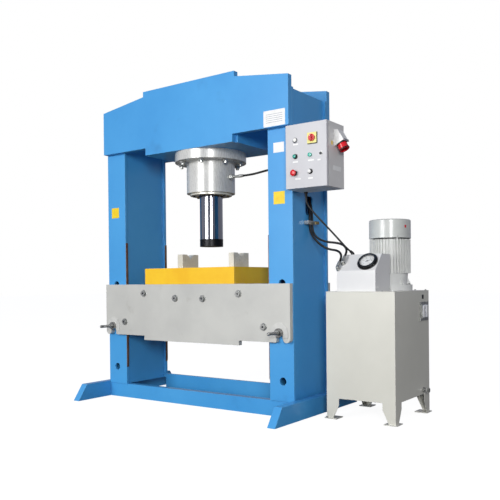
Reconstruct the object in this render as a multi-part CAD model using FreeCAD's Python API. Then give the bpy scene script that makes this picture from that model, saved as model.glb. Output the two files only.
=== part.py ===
"""Hydraulic workshop press of portal type with a separate power pack.

Modelling frame, in millimetres: X runs across the press, Y from the operator's side to the back,
Z up from the floor. X = 0 and Y = RAM_Y is the ram's axis. Every solid is moved at the end so
that the origin lies at the bottom centre of the whole machine's box.
"""
import FreeCAD
import Part
import math
import os

V = FreeCAD.Vector

# ---------------------------------------------------------------- driving dimensions
FIT = 0.05          # radial running clearance of turned fits
SLIP = 0.1          # radial clearance of parts that are bolted or welded afterwards
GAP = 0.3           # clearance between curved faces of neighbouring bodies
SLIDE_GAP = 1.0     # clearance between the table plates and the flanges they slide on

# Uprights: box sections welded from two flanges and two side plates set in from their edges
FRAME_HALF = 865.0
FRAME_DEPTH = 450.0
FLANGE_WIDTH = 190.0
FLANGE_T = 20.0
SIDE_T = 10.0
SIDE_RECESS = 20.0
UPRIGHT_BOTTOM = 104.0
UPRIGHT_TOP = 2141.0
PIN_R = 25.0
PIN_CLEARANCE = 1.0
PIN_HOLE_R = PIN_R + PIN_CLEARANCE
PIN_HOLE_Z = 235.0
PIN_HOLE_STEP = 320.0
PIN_HOLE_COUNT = 3
PIN_ROW = 1         # the row of holes that holds the table
OPENING_HALF = FRAME_HALF - FLANGE_WIDTH
SIDE_INNER_X = OPENING_HALF + SIDE_RECESS
SIDE_OUTER_X = FRAME_HALF - SIDE_RECESS
UPRIGHT_X = FRAME_HALF - FLANGE_WIDTH / 2
PIN_X = UPRIGHT_X + 8.0
RAM_Y = FRAME_DEPTH / 2

# Openings for the hoses in the right upright's side plates
SLOT_Y = (190.0, 284.0)
SLOT_Z = (1332.0, 1458.0)
SLOT_CORNER = 20.0
HOSE_HOLE_AT = (231.0, 1660.0)
HOSE_HOLE_R = 28.0

# Bare steel guide strips on the flanges' inner edges
STRIP_T = 5.0
STRIP_Z = (235.0, 1195.0)
STRIP_CHAMFER = 14.0

# Crown: two outer plates with cheeks and a seat plate between them
CROWN_T = 40.0
CROWN_END_BOTTOM = 1889.0
CROWN_MID_BOTTOM = 1836.0
CROWN_MID_HALF = 410.0
CROWN_END_TOP = 2214.0
CROWN_SHOULDER_TOP = 2274.0
CROWN_TOP = 2312.0
CROWN_TOP_HALF = 430.0
CHEEK_T = 30.0
CHEEK_HALF = 425.0
SEAT_T = 50.0

# Feet and ties
FOOT_WIDTH = 58.0
FOOT_HEIGHT = 116.0
FOOT_WALL = 6.0
FOOT_FRONT = -310.0
FOOT_BACK = 760.0
FOOT_SLOPE = 81.0   # how far the slanted end leans back over the foot's height
END_PLATE_T = 6.0
FRONT_TIE_Y = 8.0
FRONT_TIE_DEPTH = 50.0
REAR_TIE_HEIGHT = 134.0
TIE_WALL = 8.0

# Cylinder
TUBE_R = 178.5
BORE_R = 135.0
TUBE_BOTTOM = 1540.0
TUBE_TOP = 2195.0
HEAD_T = 45.0
SEAT_FLANGE_R = 263.5
SEAT_FLANGE_BOTTOM = 1768.0
FLANGE_BOLT_R = 12.0
FLANGE_BOLT_PCD = 456.0
FLANGE_BOLT_COUNT = 8
NUT_M24_AF = 36.0
NUT_M24_H = 15.0
STUD_STUB = 14.0
GLAND_R = 154.0
GLAND_LIP = 15.0
GLAND_LENGTH = 80.0
LOWER_PORT_Z = 1650.0
UPPER_PORT_Z = 2165.0

# Ram
ROD_R = 85.0
NOSE_BOTTOM = 1150.0
NOSE_H = 53.0
NOSE_BORE_R = 25.0
NOSE_BORE_DEPTH = 45.0
NOSE_SCREW_R = 8.0
SPIGOT_R = 60.0
STROKE_DOWN = 110.0
STROKE_UP = 290.0
PISTON_H = 110.0

# Table
TABLE_SET_IN = 5.0
TABLE_HALF = FRAME_HALF - TABLE_SET_IN
TABLE_T = 34.0
TABLE_TOP = 874.0
TABLE_END_BOTTOM = 490.0
TABLE_MID_BOTTOM = 458.0
TABLE_MID_HALF = 446.0
LOBE_R = 30.0
DOUBLER_R = 66.0
DOUBLER_T = 4.0
TIE_ROD_R = 12.0
TIE_ROD_TUBE_R = 16.0
TIE_ROD_STUB = 8.0
TIE_ROD_SPOTS = ((447.0, 807.0), (130.0, 772.0), (652.0, 589.0))
TABLE_LIFT = 155.0
PRESS_PLATE_X = (-432.0, 412.0)
PRESS_PLATE_H = 117.0
V_BLOCK_LEFT_X = (-226.0, -176.0)
V_BLOCK_RIGHT_X = (260.0, 304.0)
V_BLOCK_Y = (100.0, 276.0)
V_BLOCK_H = 104.0
V_WIDTH = 77.0
V_DEPTH = 34.0

# Table pins
PIN_TAIL = 25.0
PIN_COLLAR_R = PIN_R + 5.0
PIN_COLLAR_T = 14.0
PIN_HANDLE_R = 8.0
PIN_HANDLE_REACH = 105.0
PIN_TRAVEL = 555.0

# Control box on the right upright
BOX_STANDOFF = 3.0
BOX_X = FRAME_HALF + BOX_STANDOFF
BOX_WIDTH = 300.0
BOX_FRONT = -83.0
BOX_DEPTH = 218.0
BOX_BOTTOM = 1468.0
BOX_HEIGHT = 400.0
BOX_WALL = 2.0
BOX_CORNER = 6.0
DOOR_DEPTH = 26.0
DOOR_GAP = 0.4
BRACKET_T = 6.0
BRACKET_Y = (-37.0, 125.0)
BRACKET_Z = (BOX_BOTTOM + 30.0, BOX_BOTTOM + BOX_HEIGHT - 30.0)

# Operating parts on the door, each (X, Z) on its face
SWITCH_AT = (BOX_X + 198.0, BOX_BOTTOM + 302.0)
SWITCH_PLATE = 66.0
SWITCH_PLATE_T = 5.0
SWITCH_KNOB_R = 22.0
SWITCH_KNOB_H = 22.0
SUPPLY_LAMP_AT = (BOX_X + 74.0, BOX_BOTTOM + 302.0)
RUN_LAMP_AT = (BOX_X + 182.0, BOX_BOTTOM + 199.0)
START_AT = (BOX_X + 75.0, BOX_BOTTOM + 199.0)
STOP_AT = (BOX_X + 69.0, BOX_BOTTOM + 96.0)
WHITE_AT = (BOX_X + 184.0, BOX_BOTTOM + 96.0)
LOCK_AT = (BOX_X + BOX_WIDTH - 41.0, BOX_BOTTOM + 199.0)
BEZEL_R = 15.0
BEZEL_H = 7.0
BUTTON_R = 11.0
BUTTON_H = 11.0
STOP_R = 20.0
STOP_H = 26.0
STEM_R = 7.0
BUTTON_TRAVEL = 3.0
STOP_TRAVEL = 5.0
LAMP_R = 12.0
LAMP_H = 9.0
LOCK_R = 9.0

# Supply inlet on the box's right side
INLET_Y = (8.0, 78.0)
INLET_Z = (BOX_BOTTOM + 254.0, BOX_BOTTOM + 354.0)
INLET_TOP_T = 26.0
INLET_LEDGE = 4.0
COLLAR_R = 31.0
COLLAR_BORE_R = 25.0
COLLAR_LENGTH = 46.0
COLLAR_ROOT_T = 8.0
COLLAR_TILT = 62.0  # degrees below the horizontal

# Power pack
TANK_SPACING = 160.0    # from the upright to the tank
TANK_X = FRAME_HALF + TANK_SPACING
TANK_WIDTH = 480.0
TANK_FRONT = 140.0
TANK_DEPTH = 550.0
TANK_BOTTOM = 133.0
TANK_TOP = 811.0
TANK_WALL = 4.0
LID_T = 8.0
LEG_TOP_WIDTH = 88.0
LEG_FOOT_WIDTH = 46.0
LEG_STRAIGHT_TO = 90.0
LEG_T = 5.0
LEG_PLATE_T = 6.0
LEG_PLATE_SIDE = 88.0

CONSOLE_X = TANK_X + 60.0
CONSOLE_WIDTH = 273.0
CONSOLE_FRONT = 180.0
CONSOLE_BACK = 401.0
CONSOLE_SLOPE_BACK = 275.0
CONSOLE_SLOPE_Z = 952.0
CONSOLE_TOP = 1058.0
CONSOLE_WALL = 2.0

GAUGE_X = CONSOLE_X + 198.0
GAUGE_UP = 71.0     # along the slope, from its lower edge
GAUGE_R = 68.0
GAUGE_BEZEL_T = 8.0
GAUGE_RIM_R = 60.0
GAUGE_RIM_T = 20.0
GAUGE_DIAL_R = 49.0
GAUGE_DIAL_DEPTH = 13.0
GAUGE_CASE_R = 52.0
GAUGE_CASE_DEPTH = 34.0
GAUGE_GLASS_T = 2.5
NEEDLE_LENGTH = 38.0
NEEDLE_TAIL = 12.0
NEEDLE_HUB_R = 4.0
NEEDLE_ANGLE = 24.0  # degrees above the dial's horizontal

MOTOR_X = TANK_X + 264.0
MOTOR_Y = 552.0
MOTOR_FLANGE_R = 147.0
MOTOR_FLANGE_TOP = 858.0
MOTOR_NECK_R = 112.0
MOTOR_BODY_BOTTOM = 934.0
MOTOR_BODY_TOP = 1160.0
MOTOR_BODY_R = 118.0
MOTOR_FIN_R = 137.0
MOTOR_FIN_COUNT = 40
MOTOR_FIN_T = 4.0
MOTOR_SHAFT_R = 19.0
COWL_R = 139.0
COWL_BOTTOM = 1168.0
COWL_TOP = 1292.0
COWL_WALL = 2.0
COWL_LUG_T = 8.0
FAN_R = 118.0
FAN_BLADES = 9
FAN_HUB_R = 32.0
FAN_Z = (1190.0, 1262.0)
PUMP_R = 62.0
PUMP_LENGTH = 210.0

LEVEL_Y = (527.0, 665.0)
LEVEL_Z = (621.0, 744.0)
LEVEL_T = 14.0
DRAIN_AT = (580.0, 162.0)
DRAIN_REACH = 44.0

# Hoses and cable
HOSE_R = 7.5
CABLE_R = 6.0
FERRULE_R = 10.0
FERRULE_LENGTH = 50.0
NUT_AF = 24.0
NUT_H = 15.0
PORT_FERRULE_END = 300.0
CLAMP_Y = (170.0, 280.0)
CLAMP_Z = (1266.0, 1290.0)
CLAMP_REACH = 32.0
CLAMP_HOLES = ((SIDE_OUTER_X + 17.5, 214.5), (SIDE_OUTER_X + 17.5, 246.0))
FITTING_OFFSET = 22.0   # of the console fittings' axes above the slope
RETURN_FITTING = (CONSOLE_X + 8.0, 58.0)     # X and the ferrule's top along the slope
FEED_FITTING = (CONSOLE_X + 30.0, 106.0)
FITTING_FERRULE = 34.0
LAST_RUN = 42.0         # straight run of a hose into its console ferrule
GLAND_FOOT_AF = 24.0
GLAND_FOOT_H = 10.0
GLAND_NECK_R = 9.4
GLAND_NECK_H = 20.0
CABLE_BOX_GLAND = (BOX_X + 37.0, 101.0)
CABLE_TOP_GLAND = (CONSOLE_X + 58.0, 290.0)

# ---------------------------------------------------------------- values worked out from them
PIN_Z = PIN_HOLE_Z + PIN_ROW * PIN_HOLE_STEP
PLATE_TOP = TABLE_TOP + PRESS_PLATE_H
TABLE_FRONT = -SLIDE_GAP - TABLE_T
TABLE_BACK = FRAME_DEPTH + SLIDE_GAP + TABLE_T
SEAT_TOP = CROWN_MID_BOTTOM + SEAT_T
GLAND_TOP = TUBE_BOTTOM + GLAND_LENGTH
PISTON_BOTTOM = GLAND_TOP + STROKE_DOWN
PISTON_TOP = PISTON_BOTTOM + PISTON_H
FOOT_OUTER = FRAME_HALF + FOOT_WIDTH
BOX_BACK = BOX_FRONT + BOX_DEPTH
BOX_RIGHT = BOX_X + BOX_WIDTH
BOX_TOP = BOX_BOTTOM + BOX_HEIGHT
DOOR_BACK = BOX_FRONT + DOOR_DEPTH
TANK_RIGHT = TANK_X + TANK_WIDTH
TANK_BACK = TANK_FRONT + TANK_DEPTH
LID_TOP = TANK_TOP + LID_T
SLOPE_RUN = CONSOLE_SLOPE_BACK - CONSOLE_FRONT
SLOPE_RISE = CONSOLE_TOP - CONSOLE_SLOPE_Z
SLOPE_LENGTH = math.hypot(SLOPE_RUN, SLOPE_RISE)
SLOPE_TILT = math.degrees(math.atan2(SLOPE_RISE, SLOPE_RUN))
UP_SLOPE = V(0, SLOPE_RUN / SLOPE_LENGTH, SLOPE_RISE / SLOPE_LENGTH)
OFF_SLOPE = V(0, -SLOPE_RISE / SLOPE_LENGTH, SLOPE_RUN / SLOPE_LENGTH)
ORIGIN = V((TANK_RIGHT + DRAIN_REACH - FOOT_OUTER) / 2, (FOOT_FRONT + FOOT_BACK) / 2, 0)

parts = {}


# ---------------------------------------------------------------- building helpers
def block(x, y, z):
    """Box between the pairs x, y and z."""
    return Part.makeBox(x[1] - x[0], y[1] - y[0], z[1] - z[0], V(x[0], y[0], z[0]))


def bar(start, end, radius):
    """Round bar between two points."""
    along = end - start
    return Part.makeCylinder(radius, along.Length, start, along)


def ring(start, end, outer, inner):
    """Round tube between two points."""
    return bar(start, end, outer).cut(bar(start, end, inner))


def prism(points, push):
    """Straight-sided prism: a closed outline pushed along a vector."""
    return Part.Face(Part.makePolygon(points + points[:1])).extrude(push)


def hexagon(start, end, across_flats, bore=0.0):
    """Hexagonal bar between two points, bored if a radius is given."""
    along = end - start
    corner = across_flats / math.sqrt(3)
    points = [V(corner * math.cos(a), corner * math.sin(a), 0)
              for a in (math.radians(60 * k) for k in range(6))]
    body = prism(points, V(0, 0, along.Length))
    body.Placement = FreeCAD.Placement(start, FreeCAD.Rotation(V(0, 0, 1), along))
    return body.cut(bar(start, end, bore)) if bore else body


def outline(points):
    """Closed wire through points; a (middle, end) pair stands for an arc."""
    edges = []
    here = points[0]
    for step in points[1:] + points[:1]:
        if isinstance(step, tuple):
            edges.append(Part.Arc(here, step[0], step[1]).toShape())
            here = step[1]
        else:
            edges.append(Part.LineSegment(here, step).toShape())
            here = step
    return Part.Wire(edges)


def mirror_x(shape):
    """The same shape on the other side of the ram's axis."""
    return shape.mirror(V(0, 0, 0), V(1, 0, 0))


def group(shapes):
    """Separate solids that share one node."""
    return Part.makeCompound(shapes)


def on_slope(x, up, off=0.0):
    """Point over the console's slope: X, distance up the slope, height off it."""
    return V(x, CONSOLE_FRONT, CONSOLE_SLOPE_Z) + UP_SLOPE * up + OFF_SLOPE * off


def flexible(name, points, radius):
    """Tube along straight runs joined by tangent arcs as large as the runs allow."""
    edges = []
    radii = []
    here = points[0]
    for before, corner, after in zip(points, points[1:], points[2:]):
        back = before - corner
        on = after - corner
        half_turn = (math.pi - back.getAngle(on)) / 2
        tangent = 0.45 * min(back.Length, on.Length)
        bend = tangent / math.tan(half_turn)
        back.normalize()
        on.normalize()
        enter = corner + back * tangent
        leave = corner + on * tangent
        inward = back + on
        inward.normalize()
        middle = corner + inward * (bend / math.cos(half_turn) - bend)
        edges.append(Part.LineSegment(here, enter).toShape())
        edges.append(Part.Arc(enter, middle, leave).toShape())
        here = leave
        radii.append(round(bend))
    edges.append(Part.LineSegment(here, points[-1]).toShape())
    path = Part.Wire(edges)
    start = Part.Wire([Part.Circle(points[0], points[1] - points[0], radius).toShape()])
    tube = path.makePipeShell([start], True, False)
    runs = [round((b - a).Length) for a, b in zip(points, points[1:])]
    share = tube.Volume / (math.pi * radius ** 2 * path.Length)
    print(f"{name}: length {path.Length:.0f}, radii {radii}, runs {runs}, volume share {share:.4f}")
    return tube


# ---------------------------------------------------------------- frame
def upright():
    """Right upright: a welded box section with pin holes through both flanges."""
    z = (UPRIGHT_BOTTOM, UPRIGHT_TOP)
    walls = [block((OPENING_HALF, FRAME_HALF), y, z)
             for y in ((0, FLANGE_T), (FRAME_DEPTH - FLANGE_T, FRAME_DEPTH))]
    for x in ((SIDE_INNER_X, SIDE_INNER_X + SIDE_T), (SIDE_OUTER_X - SIDE_T, SIDE_OUTER_X)):
        walls.append(block(x, (FLANGE_T, FRAME_DEPTH - FLANGE_T), z))
    body = walls[0].multiFuse(walls[1:]).removeSplitter()
    for k in range(PIN_HOLE_COUNT):
        hole_z = PIN_HOLE_Z + k * PIN_HOLE_STEP
        body = body.cut(bar(V(PIN_X, -1, hole_z), V(PIN_X, FRAME_DEPTH + 1, hole_z), PIN_HOLE_R))
    return body


def right_upright():
    """Right upright with the hose hole inside the opening and the slot on its outer side."""
    y, z = HOSE_HOLE_AT
    hole = bar(V(SIDE_INNER_X - 1, y, z), V(SIDE_INNER_X + SIDE_T + 1, y, z), HOSE_HOLE_R)
    slot = block((SIDE_OUTER_X - SIDE_T - 1, SIDE_OUTER_X + 1), SLOT_Y, SLOT_Z)
    slot = slot.makeFillet(SLOT_CORNER, [e for e in slot.Edges if abs(e.tangentAt(0).x) > 0.9])
    return upright().cut(hole).cut(slot)


def crown_plate(y):
    """Stepped crown plate between the two Y values."""
    half = [(0, CROWN_MID_BOTTOM), (CROWN_MID_HALF, CROWN_MID_BOTTOM),
            (CROWN_MID_HALF, CROWN_END_BOTTOM), (FRAME_HALF, CROWN_END_BOTTOM),
            (FRAME_HALF, CROWN_END_TOP), (CROWN_TOP_HALF, CROWN_SHOULDER_TOP),
            (CROWN_TOP_HALF, CROWN_TOP)]
    points = [V(x, y[0], z) for x, z in half[1:]]
    points += [V(-x, y[0], z) for x, z in reversed(half[1:])]
    return prism(points, V(0, y[1] - y[0], 0))


def crown_inner_plates():
    """Two cheeks and the seat plate that carries the cylinder."""
    inner = CHEEK_HALF - CHEEK_T
    cheek = block((inner, CHEEK_HALF), (0, FRAME_DEPTH), (CROWN_MID_BOTTOM, CROWN_SHOULDER_TOP))
    hose_hole = bar(V(inner - 1, RAM_Y, UPPER_PORT_Z), V(CHEEK_HALF + 1, RAM_Y, UPPER_PORT_Z),
                    4 * HOSE_R)
    seat = block((-inner, inner), (0, FRAME_DEPTH), (CROWN_MID_BOTTOM, SEAT_TOP))
    seat = seat.cut(bar(V(0, RAM_Y, CROWN_MID_BOTTOM - 1), V(0, RAM_Y, SEAT_TOP + 1), TUBE_R + SLIP))
    for x, y in bolt_circle():
        seat = seat.cut(bar(V(x, y, CROWN_MID_BOTTOM - 1), V(x, y, SEAT_TOP + 1),
                            FLANGE_BOLT_R + SLIP))
    return group([cheek.cut(hose_hole), mirror_x(cheek), seat])


def foot_outline(x, inset=0.0):
    """Side outline of a foot, slanted at both ends, drawn at one X."""
    lean = FOOT_SLOPE * inset / FOOT_HEIGHT
    return [V(x, FOOT_FRONT + lean, inset),
            V(x, FOOT_BACK - lean, inset),
            V(x, FOOT_BACK - FOOT_SLOPE + lean, FOOT_HEIGHT - inset),
            V(x, FOOT_FRONT + FOOT_SLOPE - lean, FOOT_HEIGHT - inset)]


def foot():
    """Rectangular tube, cut on the slant at both ends and set back for the end plates."""
    outer = prism(foot_outline(FRAME_HALF), V(FOOT_WIDTH, 0, 0))
    hollow = block((FRAME_HALF + FOOT_WALL, FOOT_OUTER - FOOT_WALL),
                   (FOOT_FRONT - 1, FOOT_BACK + 1), (FOOT_WALL, FOOT_HEIGHT - FOOT_WALL))
    shell = outer.cut(hollow)
    for plate in foot_end_pair():
        shell = shell.cut(plate)
    return shell


def foot_end_pair():
    """Slanted plates that close the right foot's two ends."""
    slant = math.hypot(FOOT_SLOPE, FOOT_HEIGHT)
    along = END_PLATE_T * slant / FOOT_HEIGHT
    plates = []
    for tip, way in ((FOOT_FRONT, 1), (FOOT_BACK, -1)):
        points = [V(FRAME_HALF, tip, 0), V(FRAME_HALF, tip + way * along, 0),
                  V(FRAME_HALF, tip + way * (along + FOOT_SLOPE), FOOT_HEIGHT),
                  V(FRAME_HALF, tip + way * FOOT_SLOPE, FOOT_HEIGHT)]
        plates.append(prism(points, V(FOOT_WIDTH, 0, 0)))
    return plates


def channel_tie(half, y, height, open_back):
    """Channel laid across the press, its web towards the operator."""
    body = block((-half, half), y, (0, height))
    inside = block((-half, half), (y[0] + TIE_WALL, y[1] + (1 if open_back else 0)),
                   (TIE_WALL, height - TIE_WALL))
    return body.cut(inside)


def guide_strips():
    """Bare strips on the inner edges of both flanges, chamfered at the lower end."""
    strips = []
    for y in ((0, FLANGE_T), (FRAME_DEPTH - FLANGE_T, FRAME_DEPTH)):
        points = [V(OPENING_HALF, y[0], STRIP_Z[0]), V(OPENING_HALF, y[0], STRIP_Z[1]),
                  V(OPENING_HALF - STRIP_T, y[0], STRIP_Z[1]),
                  V(OPENING_HALF - STRIP_T, y[0], STRIP_Z[0] + STRIP_CHAMFER)]
        strip = prism(points, V(0, y[1] - y[0], 0))
        strips += [strip, mirror_x(strip)]
    return group(strips)


# ---------------------------------------------------------------- cylinder and ram
def bolt_circle():
    """Places of the cylinder's flange bolts, straddling the X and Y axes."""
    turn = 2 * math.pi / FLANGE_BOLT_COUNT
    return [(FLANGE_BOLT_PCD / 2 * math.cos(turn * (k + 0.5)),
             RAM_Y + FLANGE_BOLT_PCD / 2 * math.sin(turn * (k + 0.5)))
            for k in range(FLANGE_BOLT_COUNT)]


def cylinder_tube():
    """Barrel with its two side ports."""
    tube = ring(V(0, RAM_Y, TUBE_BOTTOM), V(0, RAM_Y, TUBE_TOP), TUBE_R, BORE_R)
    for z in (LOWER_PORT_Z, UPPER_PORT_Z):
        tube = tube.cut(bar(V(BORE_R - 10, RAM_Y, z), V(TUBE_R + 10, RAM_Y, z), FERRULE_R))
    return tube


def cylinder_flange():
    """Welded seat flange, drilled for its bolts."""
    flange = ring(V(0, RAM_Y, SEAT_FLANGE_BOTTOM), V(0, RAM_Y, CROWN_MID_BOTTOM),
                  SEAT_FLANGE_R, TUBE_R + SLIP)
    for x, y in bolt_circle():
        flange = flange.cut(bar(V(x, y, SEAT_FLANGE_BOTTOM - 1), V(x, y, CROWN_MID_BOTTOM + 1),
                                FLANGE_BOLT_R + SLIP))
    return flange


def cylinder_gland():
    """Rod guide: a spigot in the barrel with a lip under it."""
    spigot = bar(V(0, RAM_Y, TUBE_BOTTOM), V(0, RAM_Y, GLAND_TOP), BORE_R - SLIP)
    lip = bar(V(0, RAM_Y, TUBE_BOTTOM - GLAND_LIP), V(0, RAM_Y, TUBE_BOTTOM), GLAND_R)
    bore = bar(V(0, RAM_Y, TUBE_BOTTOM - GLAND_LIP - 1), V(0, RAM_Y, GLAND_TOP + 1), ROD_R + FIT)
    return spigot.fuse(lip).cut(bore)


def flange_studs():
    """Studs screwed into the seat, each with its nut under the flange."""
    solids = []
    for x, y in bolt_circle():
        low = SEAT_FLANGE_BOTTOM - NUT_M24_H
        solids.append(bar(V(x, y, low - STUD_STUB), V(x, y, SEAT_TOP), FLANGE_BOLT_R))
        solids.append(hexagon(V(x, y, low), V(x, y, SEAT_FLANGE_BOTTOM), NUT_M24_AF,
                              FLANGE_BOLT_R + SLIP))
    return group(solids)


def ram_rod():
    """Chromed rod with the piston's spigot on top."""
    rod = bar(V(0, RAM_Y, NOSE_BOTTOM + NOSE_H), V(0, RAM_Y, PISTON_BOTTOM), ROD_R)
    return rod.fuse(bar(V(0, RAM_Y, PISTON_BOTTOM), V(0, RAM_Y, PISTON_TOP), SPIGOT_R))


def ram_nose():
    """Tool holder under the rod with a blind bore and a clamping screw hole."""
    top = NOSE_BOTTOM + NOSE_H
    nose = bar(V(0, RAM_Y, NOSE_BOTTOM), V(0, RAM_Y, top), ROD_R + 1)
    nose = nose.cut(bar(V(0, RAM_Y, NOSE_BOTTOM - 1), V(0, RAM_Y, NOSE_BOTTOM + NOSE_BORE_DEPTH),
                        NOSE_BORE_R))
    screw_z = NOSE_BOTTOM + NOSE_H / 2
    return nose.cut(bar(V(0, RAM_Y - ROD_R - 5, screw_z), V(0, RAM_Y, screw_z),
                        NOSE_SCREW_R + SLIP))


def nose_screw():
    """Set screw with a hexagon socket, flush in the nose."""
    z = NOSE_BOTTOM + NOSE_H / 2
    face = RAM_Y - ROD_R + 2
    screw = bar(V(0, face, z), V(0, RAM_Y - NOSE_BORE_R - 3, z), NOSE_SCREW_R)
    return screw.cut(hexagon(V(0, face - 1, z), V(0, face + 9, z), NOSE_SCREW_R))


# ---------------------------------------------------------------- table
def table_plate(y):
    """Table side plate with a downward-open notch for each pin."""
    notch = PIN_R + GAP
    outer_lobe = PIN_X + notch
    foot_z = TABLE_END_BOTTOM
    bend = math.sqrt(0.5)
    half = [V(0, 0, TABLE_MID_BOTTOM), V(TABLE_MID_HALF, 0, TABLE_MID_BOTTOM),
            V(TABLE_MID_HALF, 0, foot_z), V(PIN_X - notch - 8, 0, foot_z),
            (V(PIN_X - notch - 8 + 8 * bend, 0, foot_z + 8 - 8 * bend),
             V(PIN_X - notch, 0, foot_z + 8)),
            V(PIN_X - notch, 0, PIN_Z),
            (V(PIN_X, 0, PIN_Z + notch), V(outer_lobe, 0, PIN_Z))]
    lobe = min(LOBE_R, (TABLE_HALF - outer_lobe) / 2)
    half += [V(outer_lobe, 0, foot_z + lobe),
             (V(outer_lobe + lobe * (1 - bend), 0, foot_z + lobe * (1 - bend)),
              V(outer_lobe + lobe, 0, foot_z)),
             V(TABLE_HALF - lobe, 0, foot_z),
             (V(TABLE_HALF - lobe * (1 - bend), 0, foot_z + lobe * (1 - bend)),
              V(TABLE_HALF, 0, foot_z + lobe)),
             V(TABLE_HALF, 0, TABLE_TOP), V(0, 0, TABLE_TOP)]
    face = Part.Face(outline(drop_short_steps(half)))
    side = face.extrude(V(0, y[1] - y[0], 0))
    plate = side.fuse(mirror_x(side)).removeSplitter()
    plate.translate(V(0, y[0], 0))
    for x, z in tie_rod_spots():
        plate = plate.cut(bar(V(x, y[0] - 1, z), V(x, y[1] + 1, z), TIE_ROD_R + SLIP))
    return plate


def drop_short_steps(points):
    """Leave out a straight step that has shrunk to nothing."""
    kept = [points[0]]
    for step in points[1:]:
        last = kept[-1][1] if isinstance(kept[-1], tuple) else kept[-1]
        if isinstance(step, tuple) or (step - last).Length > 0.01:
            kept.append(step)
    return kept


def tie_rod_spots():
    """(X, Z) of the six rods that hold the table's plates together."""
    return [(side * x, z) for x, z in TIE_ROD_SPOTS for side in (-1, 1)]


def notch_doublers():
    """Horseshoe pads welded round the notches, on the outside of both plates."""
    pads = []
    for y in ((TABLE_FRONT - DOUBLER_T, TABLE_FRONT), (TABLE_BACK, TABLE_BACK + DOUBLER_T)):
        disc = bar(V(PIN_X, y[0], PIN_Z), V(PIN_X, y[1], PIN_Z), DOUBLER_R)
        skirt = block((PIN_X - DOUBLER_R, PIN_X + DOUBLER_R), y, (TABLE_END_BOTTOM + LOBE_R, PIN_Z))
        slot = block((PIN_X - PIN_R - GAP, PIN_X + PIN_R + GAP), (y[0] - 1, y[1] + 1),
                     (TABLE_END_BOTTOM - DOUBLER_R, PIN_Z))
        mouth = bar(V(PIN_X, y[0] - 1, PIN_Z), V(PIN_X, y[1] + 1, PIN_Z), PIN_R + GAP)
        low = block((PIN_X - 2 * DOUBLER_R, PIN_X + 2 * DOUBLER_R), (y[0] - 1, y[1] + 1),
                    (TABLE_END_BOTTOM - DOUBLER_R, TABLE_END_BOTTOM + LOBE_R))
        pad = disc.fuse(skirt).cut(low).cut(slot).cut(mouth).removeSplitter()
        pads += [pad, mirror_x(pad)]
    return group(pads)


def through_bolts():
    """Tie rods through both plates, with a head in front and a nut behind."""
    solids = []
    for x, z in tie_rod_spots():
        shank = bar(V(x, TABLE_FRONT, z),
                    V(x, TABLE_BACK + NUT_M24_H + TIE_ROD_STUB, z), TIE_ROD_R)
        head = hexagon(V(x, TABLE_FRONT - NUT_M24_H, z), V(x, TABLE_FRONT, z), NUT_M24_AF)
        solids.append(shank.fuse(head))
        solids.append(hexagon(V(x, TABLE_BACK, z), V(x, TABLE_BACK + NUT_M24_H, z),
                              NUT_M24_AF, TIE_ROD_R + SLIP))
    return group(solids)


def v_block(x):
    """Block with a V across its top, for round work."""
    middle = (V_BLOCK_Y[0] + V_BLOCK_Y[1]) / 2
    top = PLATE_TOP + V_BLOCK_H
    points = [V(x[0], V_BLOCK_Y[0], PLATE_TOP), V(x[0], V_BLOCK_Y[1], PLATE_TOP),
              V(x[0], V_BLOCK_Y[1], top), V(x[0], middle + V_WIDTH / 2, top),
              V(x[0], middle, top - V_DEPTH), V(x[0], middle - V_WIDTH / 2, top),
              V(x[0], V_BLOCK_Y[0], top)]
    return prism(points, V(x[1] - x[0], 0, 0))


def table_pin():
    """Right table pin: shank, collar and a thin pull handle, turned as one."""
    front = TABLE_FRONT - DOUBLER_T - SLIDE_GAP
    shank = bar(V(PIN_X, front, PIN_Z), V(PIN_X, TABLE_BACK + PIN_TAIL, PIN_Z), PIN_R)
    collar = bar(V(PIN_X, front - PIN_COLLAR_T, PIN_Z), V(PIN_X, front, PIN_Z), PIN_COLLAR_R)
    handle = bar(V(PIN_X, front - PIN_COLLAR_T - PIN_HANDLE_REACH, PIN_Z),
                 V(PIN_X, front - PIN_COLLAR_T, PIN_Z), PIN_HANDLE_R)
    knob = Part.makeSphere(1.4 * PIN_HANDLE_R,
                           V(PIN_X, front - PIN_COLLAR_T - PIN_HANDLE_REACH, PIN_Z))
    return shank.multiFuse([collar, handle, knob])


# ---------------------------------------------------------------- control box
def round_upright_edges(body, radius):
    """Round the vertical edges of a sheet case."""
    return body.makeFillet(radius, [e for e in body.Edges if abs(e.tangentAt(0).z) > 0.9])


def control_box():
    """Folded case behind the door, open at the front, with its inlet hole."""
    x, z = (BOX_X, BOX_RIGHT), (BOX_BOTTOM, BOX_TOP)
    case = block(x, (DOOR_BACK + DOOR_GAP, BOX_BACK), z)
    inside = block((x[0] + BOX_WALL, x[1] - BOX_WALL), (DOOR_BACK - 1, BOX_BACK - BOX_WALL),
                   (z[0] + BOX_WALL, z[1] - BOX_WALL))
    return case.cut(inside)


def on_door(spot, start, end, radius):
    """Round bar square to the door, between two heights off its face."""
    return bar(V(spot[0], BOX_FRONT - start, spot[1]), V(spot[0], BOX_FRONT - end, spot[1]), radius)


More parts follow.
